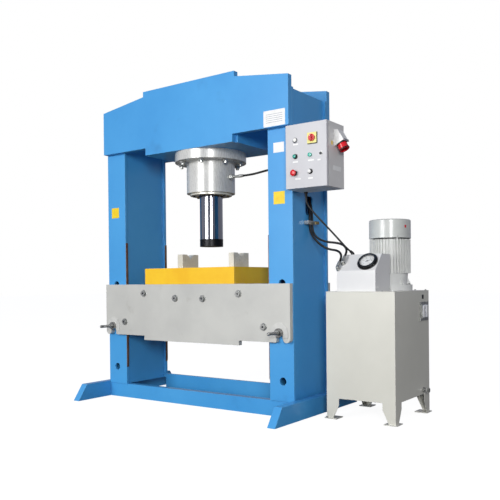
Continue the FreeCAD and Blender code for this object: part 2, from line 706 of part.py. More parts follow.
def box_door():
    """Shallow pan with rounded upright edges, pierced for its fittings."""
    x, z = (BOX_X, BOX_RIGHT), (BOX_BOTTOM, BOX_TOP)
    pan = round_upright_edges(block(x, (BOX_FRONT, DOOR_BACK), z), BOX_CORNER)
    hollow = block((x[0] + BOX_WALL, x[1] - BOX_WALL), (BOX_FRONT + BOX_WALL, DOOR_BACK + 1),
                   (z[0] + BOX_WALL, z[1] - BOX_WALL))
    hollow = round_upright_edges(hollow, BOX_CORNER - BOX_WALL)
    pan = pan.cut(hollow)
    for spot in (START_AT, STOP_AT, WHITE_AT, SWITCH_AT, LOCK_AT):
        pan = pan.cut(on_door(spot, 1, -BOX_WALL - 1, STEM_R + FIT))
    return pan


def button(spot, radius, height, bezel_h):
    """Push button: cap over its bezel with a stem through the door."""
    cap = on_door(spot, bezel_h + BUTTON_TRAVEL + GAP, bezel_h + height, radius)
    stem = on_door(spot, -DOOR_DEPTH + 6, bezel_h + BUTTON_TRAVEL + GAP, STEM_R)
    return cap.fuse(stem)


def stop_button():
    """Mushroom-headed stop button."""
    neck_top = BEZEL_H + STOP_TRAVEL + GAP
    stem = on_door(STOP_AT, -DOOR_DEPTH + 6, neck_top, STEM_R)
    neck = on_door(STOP_AT, neck_top, STOP_H - 10, 0.6 * STOP_R)
    head = on_door(STOP_AT, STOP_H - 10, STOP_H, STOP_R)
    head = head.makeFillet(4, [e for e in head.Edges if e.Curve.TypeId == "Part::GeomCircle"])
    return stem.multiFuse([neck, head])


def button_bezels():
    """Threaded rings that hold the three push buttons."""
    rings = []
    for spot in (START_AT, STOP_AT, WHITE_AT):
        rings.append(on_door(spot, 0, BEZEL_H, BEZEL_R).cut(on_door(spot, -1, BEZEL_H + 1,
                                                                    STEM_R + FIT)))
    return group(rings)


def switch_knob():
    """Main switch knob: a disc with a grip across it and a shaft through the door."""
    base = SWITCH_PLATE_T + GAP
    disc = on_door(SWITCH_AT, base, base + 8, SWITCH_KNOB_R)
    x, z = SWITCH_AT
    grip = block((x - 5, x + 5), (BOX_FRONT - base - SWITCH_KNOB_H, BOX_FRONT - base - 8),
                 (z - SWITCH_KNOB_R + 3, z + SWITCH_KNOB_R - 3))
    shaft = on_door(SWITCH_AT, -DOOR_DEPTH + 6, base, STEM_R)
    return disc.multiFuse([grip, shaft])


def switch_plate():
    """Square plate under the main switch knob."""
    x, z = SWITCH_AT
    half = SWITCH_PLATE / 2
    plate = block((x - half, x + half), (BOX_FRONT - SWITCH_PLATE_T, BOX_FRONT), (z - half, z + half))
    return plate.cut(on_door(SWITCH_AT, -1, SWITCH_PLATE_T + 1, STEM_R + FIT))


def door_lock():
    """Quarter-turn lock with a key slot and a tongue behind the door."""
    x, z = LOCK_AT
    barrel = on_door(LOCK_AT, 0.2, 4, LOCK_R).fuse(on_door(LOCK_AT, -DOOR_DEPTH + 8, 0.2, STEM_R))
    barrel = barrel.cut(block((x - 1, x + 1), (BOX_FRONT - 5, BOX_FRONT - 2), (z - 5, z + 5)))
    tongue = block((x - 6, x + 24), (DOOR_BACK - 12, DOOR_BACK - 9), (z - 6, z + 6))
    return barrel.fuse(tongue)


def pilot_lamps():
    """Supply lamp and running lamp, each a domed lens on the door."""
    lamps = []
    for spot in (SUPPLY_LAMP_AT, RUN_LAMP_AT):
        lamp = on_door(spot, 0, LAMP_H, LAMP_R)
        front = [e for e in lamp.Edges if abs(e.BoundBox.YMin - (BOX_FRONT - LAMP_H)) < 0.1
                 and abs(e.BoundBox.YMax - (BOX_FRONT - LAMP_H)) < 0.1]
        lamps.append(lamp.makeFillet(3, front))
    return group(lamps)


def collar_axis():
    """Unit vector out of the supply inlet: sideways and down."""
    angle = math.radians(COLLAR_TILT)
    return V(math.cos(angle), 0, -math.sin(angle))


def inlet_face():
    """Lower corner and direction of the inlet housing's slanted face, seen along Y."""
    axis = collar_axis()
    return V(BOX_RIGHT + INLET_LEDGE, INLET_Y[0], INLET_Z[0]), V(-axis.z, 0, axis.x)


def inlet_housing():
    """Wedge-shaped supply inlet with its slanted face turned down and out."""
    low, across = inlet_face()
    points = [V(BOX_RIGHT, INLET_Y[0], INLET_Z[0]), V(BOX_RIGHT, INLET_Y[0], INLET_Z[1]),
              V(BOX_RIGHT + INLET_TOP_T, INLET_Y[0], INLET_Z[1]),
              low + across * (2 * (COLLAR_R + INLET_LEDGE)), low]
    return prism(points, V(0, INLET_Y[1] - INLET_Y[0], 0))


def inlet_collar():
    """Shrouded collar of the inlet, closed at its root."""
    low, across = inlet_face()
    axis = collar_axis()
    centre = low + across * (COLLAR_R + INLET_LEDGE) + V(0, (INLET_Y[1] - INLET_Y[0]) / 2, 0)
    shroud = ring(centre, centre + axis * COLLAR_LENGTH, COLLAR_R, COLLAR_BORE_R)
    return shroud.fuse(bar(centre, centre + axis * COLLAR_ROOT_T, COLLAR_R))


def box_bracket():
    """Plate behind the box with a tab welded into the upright's outer recess."""
    back = block((FRAME_HALF, BOX_X), BRACKET_Y, BRACKET_Z)
    tab = block((SIDE_OUTER_X, FRAME_HALF), (FLANGE_T, FLANGE_T + BRACKET_T), BRACKET_Z)
    return back.fuse(tab)


# ---------------------------------------------------------------- power pack
def leg_outline(along, side):
    """Outline of one leg in its panel: straight below the tank, then tapering to the floor."""
    corner, inward = side
    steps = [(0, LEG_PLATE_T), (LEG_FOOT_WIDTH, LEG_PLATE_T), (LEG_TOP_WIDTH, LEG_STRAIGHT_TO),
             (LEG_TOP_WIDTH, TANK_BOTTOM), (0, TANK_BOTTOM)]
    return [along(corner + inward * w, z) for w, z in steps]


def tank():
    """Welded oil tank, open at the top, on four folded legs with foot plates."""
    x, y = (TANK_X, TANK_RIGHT), (TANK_FRONT, TANK_BACK)
    body = block(x, y, (TANK_BOTTOM, TANK_TOP))
    body = body.cut(block((x[0] + TANK_WALL, x[1] - TANK_WALL), (y[0] + TANK_WALL, y[1] - TANK_WALL),
                          (TANK_BOTTOM + TANK_WALL, TANK_TOP + 1)))
    pieces = []
    for cx, sx in ((x[0], 1), (x[1], -1)):
        for cy, sy in ((y[0], 1), (y[1], -1)):
            front = leg_outline(lambda w, z, cy=cy: V(w, cy, z), (cx, sx))
            flank = leg_outline(lambda w, z, cx=cx: V(cx, w, z), (cy, sy))
            pieces.append(prism(front, V(0, sy * LEG_T, 0)))
            pieces.append(prism(flank, V(sx * LEG_T, 0, 0)))
            out = 12
            px = sorted((cx - sx * out, cx + sx * (LEG_PLATE_SIDE - out)))
            py = sorted((cy - sy * out, cy + sy * (LEG_PLATE_SIDE - out)))
            pieces.append(block(px, py, (0, LEG_PLATE_T)))
    return body.multiFuse(pieces).removeSplitter()


def tank_lid():
    """Lid plate with the opening for the pump and the hoses."""
    lid = block((TANK_X, TANK_RIGHT), (TANK_FRONT, TANK_BACK), (TANK_TOP, LID_TOP))
    return lid.cut(bar(V(MOTOR_X, MOTOR_Y, TANK_TOP - 1), V(MOTOR_X, MOTOR_Y, LID_TOP + 1),
                       PUMP_R + 8))


def console_points(x, inset):
    """Side outline of the console cover, drawn at one X, inset from its faces."""
    shift = inset * math.tan(math.radians(SLOPE_TILT) / 2)
    lift = inset * math.tan(math.radians(90 - SLOPE_TILT) / 2)
    return [V(x, CONSOLE_FRONT + inset, LID_TOP), V(x, CONSOLE_FRONT + inset, CONSOLE_SLOPE_Z - lift),
            V(x, CONSOLE_SLOPE_BACK + shift, CONSOLE_TOP - inset),
            V(x, CONSOLE_BACK - inset, CONSOLE_TOP - inset), V(x, CONSOLE_BACK - inset, LID_TOP)]


def console_cover():
    """Folded cover with a sloped front, open underneath."""
    right = CONSOLE_X + CONSOLE_WIDTH
    cover = prism(console_points(CONSOLE_X, 0), V(CONSOLE_WIDTH, 0, 0))
    inside = prism(console_points(CONSOLE_X + CONSOLE_WALL, CONSOLE_WALL),
                   V(right - CONSOLE_X - 2 * CONSOLE_WALL, 0, 0))
    cover = cover.cut(inside)
    return cover.cut(bar(on_slope(GAUGE_X, GAUGE_UP, -CONSOLE_WALL - 1),
                         on_slope(GAUGE_X, GAUGE_UP, 1), GAUGE_CASE_R + SLIP))


def gauge_bar(start, end, radius):
    """Round bar on the gauge's axis, between two heights off the slope."""
    return bar(on_slope(GAUGE_X, GAUGE_UP, start), on_slope(GAUGE_X, GAUGE_UP, end), radius)


def gauge_case():
    """Flanged gauge case, open in front of the dial."""
    case = gauge_bar(-GAUGE_CASE_DEPTH, 0, GAUGE_CASE_R)
    flange = gauge_bar(0, GAUGE_BEZEL_T, GAUGE_R)
    rim = gauge_bar(0, GAUGE_RIM_T, GAUGE_RIM_R)
    dial = gauge_bar(GAUGE_RIM_T - GAUGE_DIAL_DEPTH, GAUGE_RIM_T + 1, GAUGE_DIAL_R)
    bush = gauge_bar(GAUGE_RIM_T - GAUGE_DIAL_DEPTH - 4, GAUGE_RIM_T, 1.5 + FIT)
    return case.multiFuse([flange, rim]).cut(dial).cut(bush)


def gauge_glass():
    """Glass disc near the rim."""
    return gauge_bar(GAUGE_RIM_T - 1 - GAUGE_GLASS_T, GAUGE_RIM_T - 1, GAUGE_DIAL_R - SLIP)


def gauge_needle():
    """Pointer with hub, tail and spindle, turned to its reading."""
    low = GAUGE_RIM_T - GAUGE_DIAL_DEPTH
    hub = gauge_bar(low + 3, low + 6, NEEDLE_HUB_R)
    spindle = gauge_bar(low - 3, low + 3, 1.5)
    angle = math.radians(NEEDLE_ANGLE)
    way = V(math.cos(angle), 0, 0) + UP_SLOPE * math.sin(angle)
    side = V(-math.sin(angle), 0, 0) + UP_SLOPE * math.cos(angle)
    centre = on_slope(GAUGE_X, GAUGE_UP, low + 4)
    points = [centre - way * NEEDLE_TAIL - side * 1.6, centre + way * NEEDLE_LENGTH - side * 0.4,
              centre + way * NEEDLE_LENGTH + side * 0.4, centre - way * NEEDLE_TAIL + side * 1.6]
    return prism(points, OFF_SLOPE * 1.0).multiFuse([hub, spindle])


def motor_bar(z, radius):
    """Round bar on the motor's axis between two heights."""
    return bar(V(MOTOR_X, MOTOR_Y, z[0]), V(MOTOR_X, MOTOR_Y, z[1]), radius)


def motor_body():
    """Finned stator housing with its neck, bored for the shaft."""
    core = motor_bar((MOTOR_BODY_BOTTOM, MOTOR_BODY_TOP), MOTOR_BODY_R)
    fins = []
    for k in range(MOTOR_FIN_COUNT):
        fin = block((MOTOR_X + MOTOR_BODY_R - 4, MOTOR_X + MOTOR_FIN_R),
                    (MOTOR_Y - MOTOR_FIN_T / 2, MOTOR_Y + MOTOR_FIN_T / 2),
                    (MOTOR_BODY_BOTTOM, MOTOR_BODY_TOP))
        fin.rotate(V(MOTOR_X, MOTOR_Y, 0), V(0, 0, 1), 360 * k / MOTOR_FIN_COUNT)
        fins.append(fin)
    lugs = []
    for k in range(4):
        lug = block((MOTOR_X + MOTOR_BODY_R - 4, MOTOR_X + COWL_R - COWL_WALL - 0.1),
                    (MOTOR_Y - COWL_LUG_T / 2, MOTOR_Y + COWL_LUG_T / 2),
                    (MOTOR_BODY_TOP - 20, COWL_BOTTOM + 18))
        lug.rotate(V(MOTOR_X, MOTOR_Y, 0), V(0, 0, 1), 45 + 90 * k)
        lugs.append(lug)
    bore = motor_bar((MOTOR_BODY_BOTTOM - 1, MOTOR_BODY_TOP + 1), MOTOR_SHAFT_R + FIT)
    return core.multiFuse(fins + lugs).cut(bore)


def motor_flange():
    """Bell with its bolted foot flange, bored for the shaft."""
    foot = motor_bar((LID_TOP, MOTOR_FLANGE_TOP), MOTOR_FLANGE_R)
    bell = Part.makeCone(MOTOR_NECK_R, MOTOR_BODY_R, MOTOR_BODY_BOTTOM - MOTOR_FLANGE_TOP,
                         V(MOTOR_X, MOTOR_Y, MOTOR_FLANGE_TOP))
    inside = motor_bar((LID_TOP - 1, MOTOR_BODY_BOTTOM - 16), PUMP_R)
    bore = motor_bar((LID_TOP, MOTOR_BODY_BOTTOM + 1), MOTOR_SHAFT_R + FIT)
    return foot.fuse(bell).cut(inside).cut(bore)


def fan_cowl():
    """Spun cover over the fan with a ring of air slots in its top."""
    shell = motor_bar((COWL_BOTTOM, COWL_TOP), COWL_R)
    shell = shell.makeFillet(8, [e for e in shell.Edges if e.BoundBox.ZMin > COWL_TOP - 1
                                 and e.Curve.TypeId == "Part::GeomCircle"])
    shell = shell.cut(motor_bar((COWL_BOTTOM - 1, COWL_TOP - COWL_WALL), COWL_R - COWL_WALL - 0.01))
    for k in range(16):
        slot = block((MOTOR_X + 40, MOTOR_X + 105), (MOTOR_Y - 4, MOTOR_Y + 4),
                     (COWL_TOP - COWL_WALL - 1, COWL_TOP + 1))
        slot.rotate(V(MOTOR_X, MOTOR_Y, 0), V(0, 0, 1), 360 * k / 16)
        shell = shell.cut(slot)
    return shell


def motor_rotor():
    """Shaft through the motor with the bladed fan on its upper end."""
    shaft = motor_bar((LID_TOP + 4, FAN_Z[1]), MOTOR_SHAFT_R)
    hub = motor_bar(FAN_Z, FAN_HUB_R)
    back = motor_bar((FAN_Z[0], FAN_Z[0] + 4), FAN_R)
    blades = []
    for k in range(FAN_BLADES):
        blade = block((MOTOR_X + FAN_HUB_R - 3, MOTOR_X + FAN_R), (MOTOR_Y - 2, MOTOR_Y + 2), FAN_Z)
        blade.rotate(V(MOTOR_X, MOTOR_Y, 0), V(0, 0, 1), 360 * k / FAN_BLADES)
        blades.append(blade)
    return shaft.multiFuse([hub, back] + blades)


def pump():
    """Gear pump hung from the bell into the tank."""
    top = motor_bar((LID_TOP - 12, LID_TOP), PUMP_R - SLIP)
    body = motor_bar((TANK_TOP - PUMP_LENGTH, LID_TOP - 12), 0.75 * PUMP_R)
    flange = motor_bar((LID_TOP, LID_TOP + 3), PUMP_R - SLIP)
    return top.multiFuse([body, flange])


def level_gauge():
    """Sight gauge on the tank's right side: plate, raised window and its two screws."""
    y, z = LEVEL_Y, LEVEL_Z
    plate = block((TANK_RIGHT, TANK_RIGHT + LEVEL_T * 0.5), y, z)
    window = block((TANK_RIGHT, TANK_RIGHT + LEVEL_T), (y[0] + 18, y[1] - 18), (z[0] + 18, z[1] - 18))
    return plate.fuse(window)


def drain_valve():
    """Drain stub with its capped plug, low on the tank's right side."""
    y, z = DRAIN_AT
    stub = bar(V(TANK_RIGHT, y, z), V(TANK_RIGHT + DRAIN_REACH - 14, y, z), 10)
    nut = hexagon(V(TANK_RIGHT, y, z), V(TANK_RIGHT + 10, y, z), 30)
    cap = hexagon(V(TANK_RIGHT + DRAIN_REACH - 14, y, z), V(TANK_RIGHT + DRAIN_REACH, y, z), 27)
    return stub.multiFuse([nut, cap])


# ---------------------------------------------------------------- hoses, cable and their ends
def slope_fitting(spot):
    """Elbow on the console's slope with its nut and ferrule pointing up the slope."""
    x, top = spot
    low = top - FITTING_FERRULE
    corner = on_slope(x, low - NUT_H, FITTING_OFFSET)
    stem = bar(on_slope(x, low - NUT_H), corner, 8)
    foot = hexagon(on_slope(x, low - NUT_H), on_slope(x, low - NUT_H, 9), NUT_AF)
    knee = Part.makeSphere(10, corner)
    nut = hexagon(corner, on_slope(x, low, FITTING_OFFSET), 2 * FERRULE_R)
    ferrule = bar(on_slope(x, low, FITTING_OFFSET), on_slope(x, top, FITTING_OFFSET), FERRULE_R)
    return stem.multiFuse([foot, knee, nut, ferrule])


def port_fitting(z):
    """Straight fitting in a cylinder port with its crimped ferrule."""
    face = math.sqrt(TUBE_R ** 2 - FERRULE_R ** 2)
    shoulder = TUBE_R + 4
    stem = bar(V(face - 20, RAM_Y, z), V(shoulder, RAM_Y, z), FERRULE_R - SLIP)
    nut = hexagon(V(shoulder, RAM_Y, z), V(shoulder + 2 * NUT_H, RAM_Y, z), 34)
    ferrule_start = PORT_FERRULE_END - FERRULE_LENGTH
    tail = bar(V(shoulder, RAM_Y, z), V(ferrule_start, RAM_Y, z), 9)
    ferrule = bar(V(ferrule_start, RAM_Y, z), V(PORT_FERRULE_END, RAM_Y, z), FERRULE_R)
    return stem.multiFuse([nut, tail, ferrule])


def hose_clamp():
    """Clamp block on the upright's outer side plate, bored for both hoses."""
    body = block((SIDE_OUTER_X, SIDE_OUTER_X + CLAMP_REACH), CLAMP_Y, CLAMP_Z)
    for x, y in CLAMP_HOLES:
        body = body.cut(bar(V(x, y, CLAMP_Z[0] - 1), V(x, y, CLAMP_Z[1] + 1), HOSE_R + GAP))
    return body


def cable_gland(seat, normal, way):
    """Gland on a flat face, its neck turned from the face's normal to the cable's way."""
    knee = seat + normal * GLAND_FOOT_H
    foot = hexagon(seat, knee, GLAND_FOOT_AF)
    return foot.multiFuse([Part.makeSphere(GLAND_NECK_R, knee),
                           bar(knee, knee + way * GLAND_NECK_H, GLAND_NECK_R)])


RETURN_POINTS = [
    V(300, 225, 1650), V(372, 225, 1650), V(448, 226, 1659), V(526, 226, 1669), V(600, 227, 1671),
    V(668, 229, 1668), V(726, 233, 1652), V(772, 242, 1608), V(793, 255, 1546), V(800, 268, 1480),
    V(814, 258, 1424), V(845, 236, 1378), V(862, 215, 1332), V(863, 214, 1226), V(884, 233, 1172),
    V(925, 253, 1126), V(980, 266, 1097), V(1035, 269, 1090), V(1072, 255, 1071)]

FEED_POINTS = [
    V(300, 225, 2165), V(372, 225, 2165), V(452, 227, 2169), V(540, 230, 2172), V(620, 234, 2172),
    V(690, 238, 2166), V(746, 243, 2140), V(780, 248, 2090), V(792, 254, 2020), V(796, 263, 1930),
    V(793, 271, 1800), V(796, 281, 1670), V(799, 290, 1560), V(806, 293, 1480), V(822, 284, 1424),
    V(848, 262, 1380), V(862, 246, 1332), V(863, 246, 1232), V(878, 256, 1192), V(912, 272, 1162),
    V(962, 286, 1147), V(1015, 293, 1142), V(1062, 297, 1130), V(1096, 285, 1107)]

CABLE_POINTS = [
    V(905, 101, 1438), V(905, 101, 1410), V(913, 107, 1383), V(935, 121, 1350), V(969, 142, 1303),
    V(1012, 168, 1250), V(1058, 197, 1190), V(1098, 224, 1136), V(1123, 247, 1099)]


def hose_end(points, spot):
    """Hose points completed by a straight run into a console ferrule."""
    x, top = spot
    end = on_slope(x, top, FITTING_OFFSET)
    return points + [end + UP_SLOPE * LAST_RUN, end]


# ---------------------------------------------------------------- the assembly
def add_frame():
    """Welded portal frame."""
    parts["left_upright"] = mirror_x(upright())
    parts["right_upright"] = right_upright()
    parts["crown_front_plate"] = crown_plate((-CROWN_T, 0))
    parts["crown_rear_plate"] = crown_plate((FRAME_DEPTH, FRAME_DEPTH + CROWN_T))
    parts["crown_inner_plates"] = crown_inner_plates()
    parts["right_foot"] = foot()
    parts["left_foot"] = mirror_x(foot())
    ends = foot_end_pair()
    parts["foot_end_plates"] = group(ends + [mirror_x(plate) for plate in ends])
    parts["front_tie"] = channel_tie(FRAME_HALF, (FRONT_TIE_Y, FRONT_TIE_Y + FRONT_TIE_DEPTH),
                                     UPRIGHT_BOTTOM, True)
    parts["rear_tie"] = block((-OPENING_HALF, OPENING_HALF), (FRAME_DEPTH - FLANGE_T, FRAME_DEPTH),
                              (0, REAR_TIE_HEIGHT))
    parts["guide_strips"] = guide_strips()


def add_cylinder():
    """Cylinder under the crown with its ram."""
    parts["cylinder_tube"] = cylinder_tube()
    parts["cylinder_flange"] = cylinder_flange()
    parts["cylinder_gland"] = cylinder_gland()
    parts["cylinder_head"] = bar(V(0, RAM_Y, TUBE_TOP), V(0, RAM_Y, TUBE_TOP + HEAD_T), TUBE_R)
    parts["flange_studs"] = flange_studs()
    parts["ram_rod"] = ram_rod()
    parts["ram_nose"] = ram_nose()
    parts["nose_screw"] = nose_screw()
    parts["piston"] = ring(V(0, RAM_Y, PISTON_BOTTOM), V(0, RAM_Y, PISTON_TOP), BORE_R - FIT,
                           SPIGOT_R + SLIP)


def add_table():
    """Height-adjustable table and what lies on it."""
    parts["table_front_plate"] = table_plate((TABLE_FRONT, -SLIDE_GAP))
    parts["table_rear_plate"] = table_plate((FRAME_DEPTH + SLIDE_GAP, TABLE_BACK))
    parts["notch_doublers"] = notch_doublers()
    parts["spacer_tubes"] = group([ring(V(x, -SLIDE_GAP, z), V(x, FRAME_DEPTH + SLIDE_GAP, z),
                                        TIE_ROD_TUBE_R, TIE_ROD_R + SLIP)
                                   for x, z in tie_rod_spots()])
    parts["through_bolts"] = through_bolts()
    parts["press_plate"] = block(PRESS_PLATE_X, (TABLE_FRONT, TABLE_BACK), (TABLE_TOP, PLATE_TOP))
    parts["v_blocks"] = group([v_block(V_BLOCK_LEFT_X), v_block(V_BLOCK_RIGHT_X)])
    parts["right_pin"] = table_pin()
    parts["left_pin"] = mirror_x(table_pin())


def add_control_box():
    """Control box, its door and what is mounted on them."""
    parts["control_box"] = control_box()
    parts["box_bracket"] = box_bracket()
    parts["box_door"] = box_door()
    parts["door_lock"] = door_lock()
    parts["switch_plate"] = switch_plate()
    parts["switch_knob"] = switch_knob()
    parts["start_button"] = button(START_AT, BUTTON_R, BUTTON_H, BEZEL_H)
    parts["stop_button"] = stop_button()
    parts["white_button"] = button(WHITE_AT, BUTTON_R, BUTTON_H, BEZEL_H)
    parts["button_bezels"] = button_bezels()
    parts["pilot_lamps"] = pilot_lamps()
    parts["inlet_housing"] = inlet_housing()
    parts["inlet_collar"] = inlet_collar()


def add_power_pack():
    """Tank, console, gauge and motor pump."""
    parts["tank"] = tank()
    parts["tank_lid"] = tank_lid()
    parts["console_cover"] = console_cover()
    parts["gauge_case"] = gauge_case()
    parts["gauge_glass"] = gauge_glass()
    parts["gauge_needle"] = gauge_needle()
    parts["motor_body"] = motor_body()
    parts["motor_flange"] = motor_flange()
    parts["fan_cowl"] = fan_cowl()
    parts["motor_rotor"] = motor_rotor()
    parts["pump"] = pump()
    parts["level_gauge"] = level_gauge()
    parts["drain_valve"] = drain_valve()


def add_lines():
    """Hoses, cable and their fittings."""
    up, down = V(0, 0, 1), V(0, 0, -1)
    box_seat = V(*CABLE_BOX_GLAND, BOX_BOTTOM)
    top_seat = V(*CABLE_TOP_GLAND, CONSOLE_TOP)
    knee = top_seat + up * GLAND_FOOT_H
    way = (CABLE_POINTS[-1] - knee).normalize()
    parts["cable_glands"] = group([cable_gland(box_seat, down, down),
                                   cable_gland(top_seat, up, way)])
    parts["hose_fittings"] = group([slope_fitting(RETURN_FITTING), slope_fitting(FEED_FITTING),
                                    port_fitting(LOWER_PORT_Z), port_fitting(UPPER_PORT_Z),
                                    hose_clamp()])
    parts["return_hose"] = flexible("return_hose", hose_end(RETURN_POINTS, RETURN_FITTING), HOSE_R)
    parts["feed_hose"] = flexible("feed_hose", hose_end(FEED_POINTS, FEED_FITTING), HOSE_R)
    parts["control_cable"] = flexible("control_cable", CABLE_POINTS + [knee + way * GLAND_NECK_H],
                                      CABLE_R)


def main():
    """Build every node, move it to the machine's origin and write it out."""
    add_frame()
    add_cylinder()
    add_table()
    add_control_box()
    add_power_pack()
    add_lines()
    os.makedirs("parts", exist_ok=True)
    for name, shape in parts.items():
        shape.translate(ORIGIN * -1)
        if not shape.isValid() or any(solid.Volume <= 0 for solid in shape.Solids):
            print("check", name, "valid", shape.isValid())
        shape.exportStep(f"parts/{name}.step")
    print(len(parts), "nodes,", sum(len(s.Solids) for s in parts.values()), "solids")


main()
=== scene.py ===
"""Looks of a portal hydraulic press with its separate power pack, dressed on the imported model.

Sizes are in millimetres in the press frame: X runs across the press, Y to the back and Z up,
with X = 0 on the ram's axis, Y = 0 on the uprights' front faces and Z = 0 on the floor.
at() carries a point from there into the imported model's frame, in metres.
"""
from __future__ import annotations

import logging
import math
from collections.abc import Sequence
from dataclasses import dataclass, field
from enum import Enum
from typing import ClassVar

import bmesh
import bpy
import numpy as np
from mathutils import Matrix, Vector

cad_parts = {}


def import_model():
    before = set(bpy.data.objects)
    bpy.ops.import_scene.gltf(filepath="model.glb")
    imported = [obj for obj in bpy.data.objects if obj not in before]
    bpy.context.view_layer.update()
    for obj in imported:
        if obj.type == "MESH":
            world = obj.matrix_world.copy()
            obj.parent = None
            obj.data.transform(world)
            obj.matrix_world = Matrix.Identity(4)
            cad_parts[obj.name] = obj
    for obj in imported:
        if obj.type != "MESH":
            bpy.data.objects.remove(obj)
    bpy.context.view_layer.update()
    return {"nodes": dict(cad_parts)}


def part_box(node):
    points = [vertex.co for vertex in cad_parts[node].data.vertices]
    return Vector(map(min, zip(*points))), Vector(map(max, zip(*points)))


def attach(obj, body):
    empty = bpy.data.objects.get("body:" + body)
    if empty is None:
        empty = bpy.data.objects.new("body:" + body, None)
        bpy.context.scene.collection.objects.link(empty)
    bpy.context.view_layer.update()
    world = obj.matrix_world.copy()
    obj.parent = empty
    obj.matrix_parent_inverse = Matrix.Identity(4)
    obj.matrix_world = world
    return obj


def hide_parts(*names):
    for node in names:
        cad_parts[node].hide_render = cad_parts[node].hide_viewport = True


LOG = logging.getLogger("press")
MM = 0.001
ORIGIN = np.array([313.0, 225.0, 0.0])
RAM_Y = 225.0
RIGHT = np.array([1.0, 0.0, 0.0])
BACK = np.array([0.0, 1.0, 0.0])
UP = np.array([0.0, 0.0, 1.0])
SET_IN = 0.2
SHARP_ANGLE = math.radians(32)
DOUBLES_APART = 1e-6
PLAIN_WHITE = (1.0, 1.0, 1.0, 1.0)
Vec = np.ndarray


class Body(str, Enum):
    """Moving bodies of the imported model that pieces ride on."""

    PRESS = "press"
    RAM = "ram"
    TABLE = "table"
    PIN_LEFT = "pin_left"
    PIN_RIGHT = "pin_right"
    DOOR = "door"
    LOCK = "lock"
    SWITCH = "main_switch"
    START = "start"
    STOP = "stop"
    WHITE = "white"
    NEEDLE = "needle"
    ROTOR = "rotor"


# ---------------------------------------------------------------- places and vectors
def at(x: float, y: float, z: float) -> Vec:
    """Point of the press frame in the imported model's frame, in metres."""
    return (np.array([x, y, z], float) - ORIGIN) * MM


def unit(v: Vec) -> Vec:
    """The vector at length one."""
    return np.asarray(v, float) / np.linalg.norm(v)


def square_to(axis: Vec) -> tuple[Vec, Vec]:
    """Two unit vectors square to an axis and to each other.

    Args:
        axis: direction of a turned shape.

    Returns:
        u and v, with u x v along the axis.
    """
    axis = unit(axis)
    aid = RIGHT if abs(axis[0]) < 0.9 else BACK
    u = unit(np.cross(aid, axis))
    return u, np.cross(axis, u)


def spoke(degrees: float, u: Vec = RIGHT, v: Vec = BACK) -> Vec:
    """Unit vector u cos t + v sin t, at an angle t from u towards v."""
    turn = math.radians(degrees)
    return math.cos(turn) * u + math.sin(turn) * v


def extent(node: str) -> Vec:
    """Lowest and highest corner of a CAD node at rest, in the press frame."""
    return np.array(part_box(node), float) / MM + ORIGIN


# ---------------------------------------------------------------- finishes
def linear(colour: tuple[float, float, float]) -> tuple[float, float, float, float]:
    """Linear colour of a display colour: the usual power curve of 2.4 with its straight toe.

    Args:
        colour: red, green and blue as shown on a display, 0 to 1.

    Returns:
        The linear red, green and blue, and an opacity of 1.
    """
    c = np.array(colour, float)
    lin = np.where(c <= 0.04045, c / 12.92, ((c + 0.055) / 1.055) ** 2.4)
    return (*[float(x) for x in lin], 1.0)


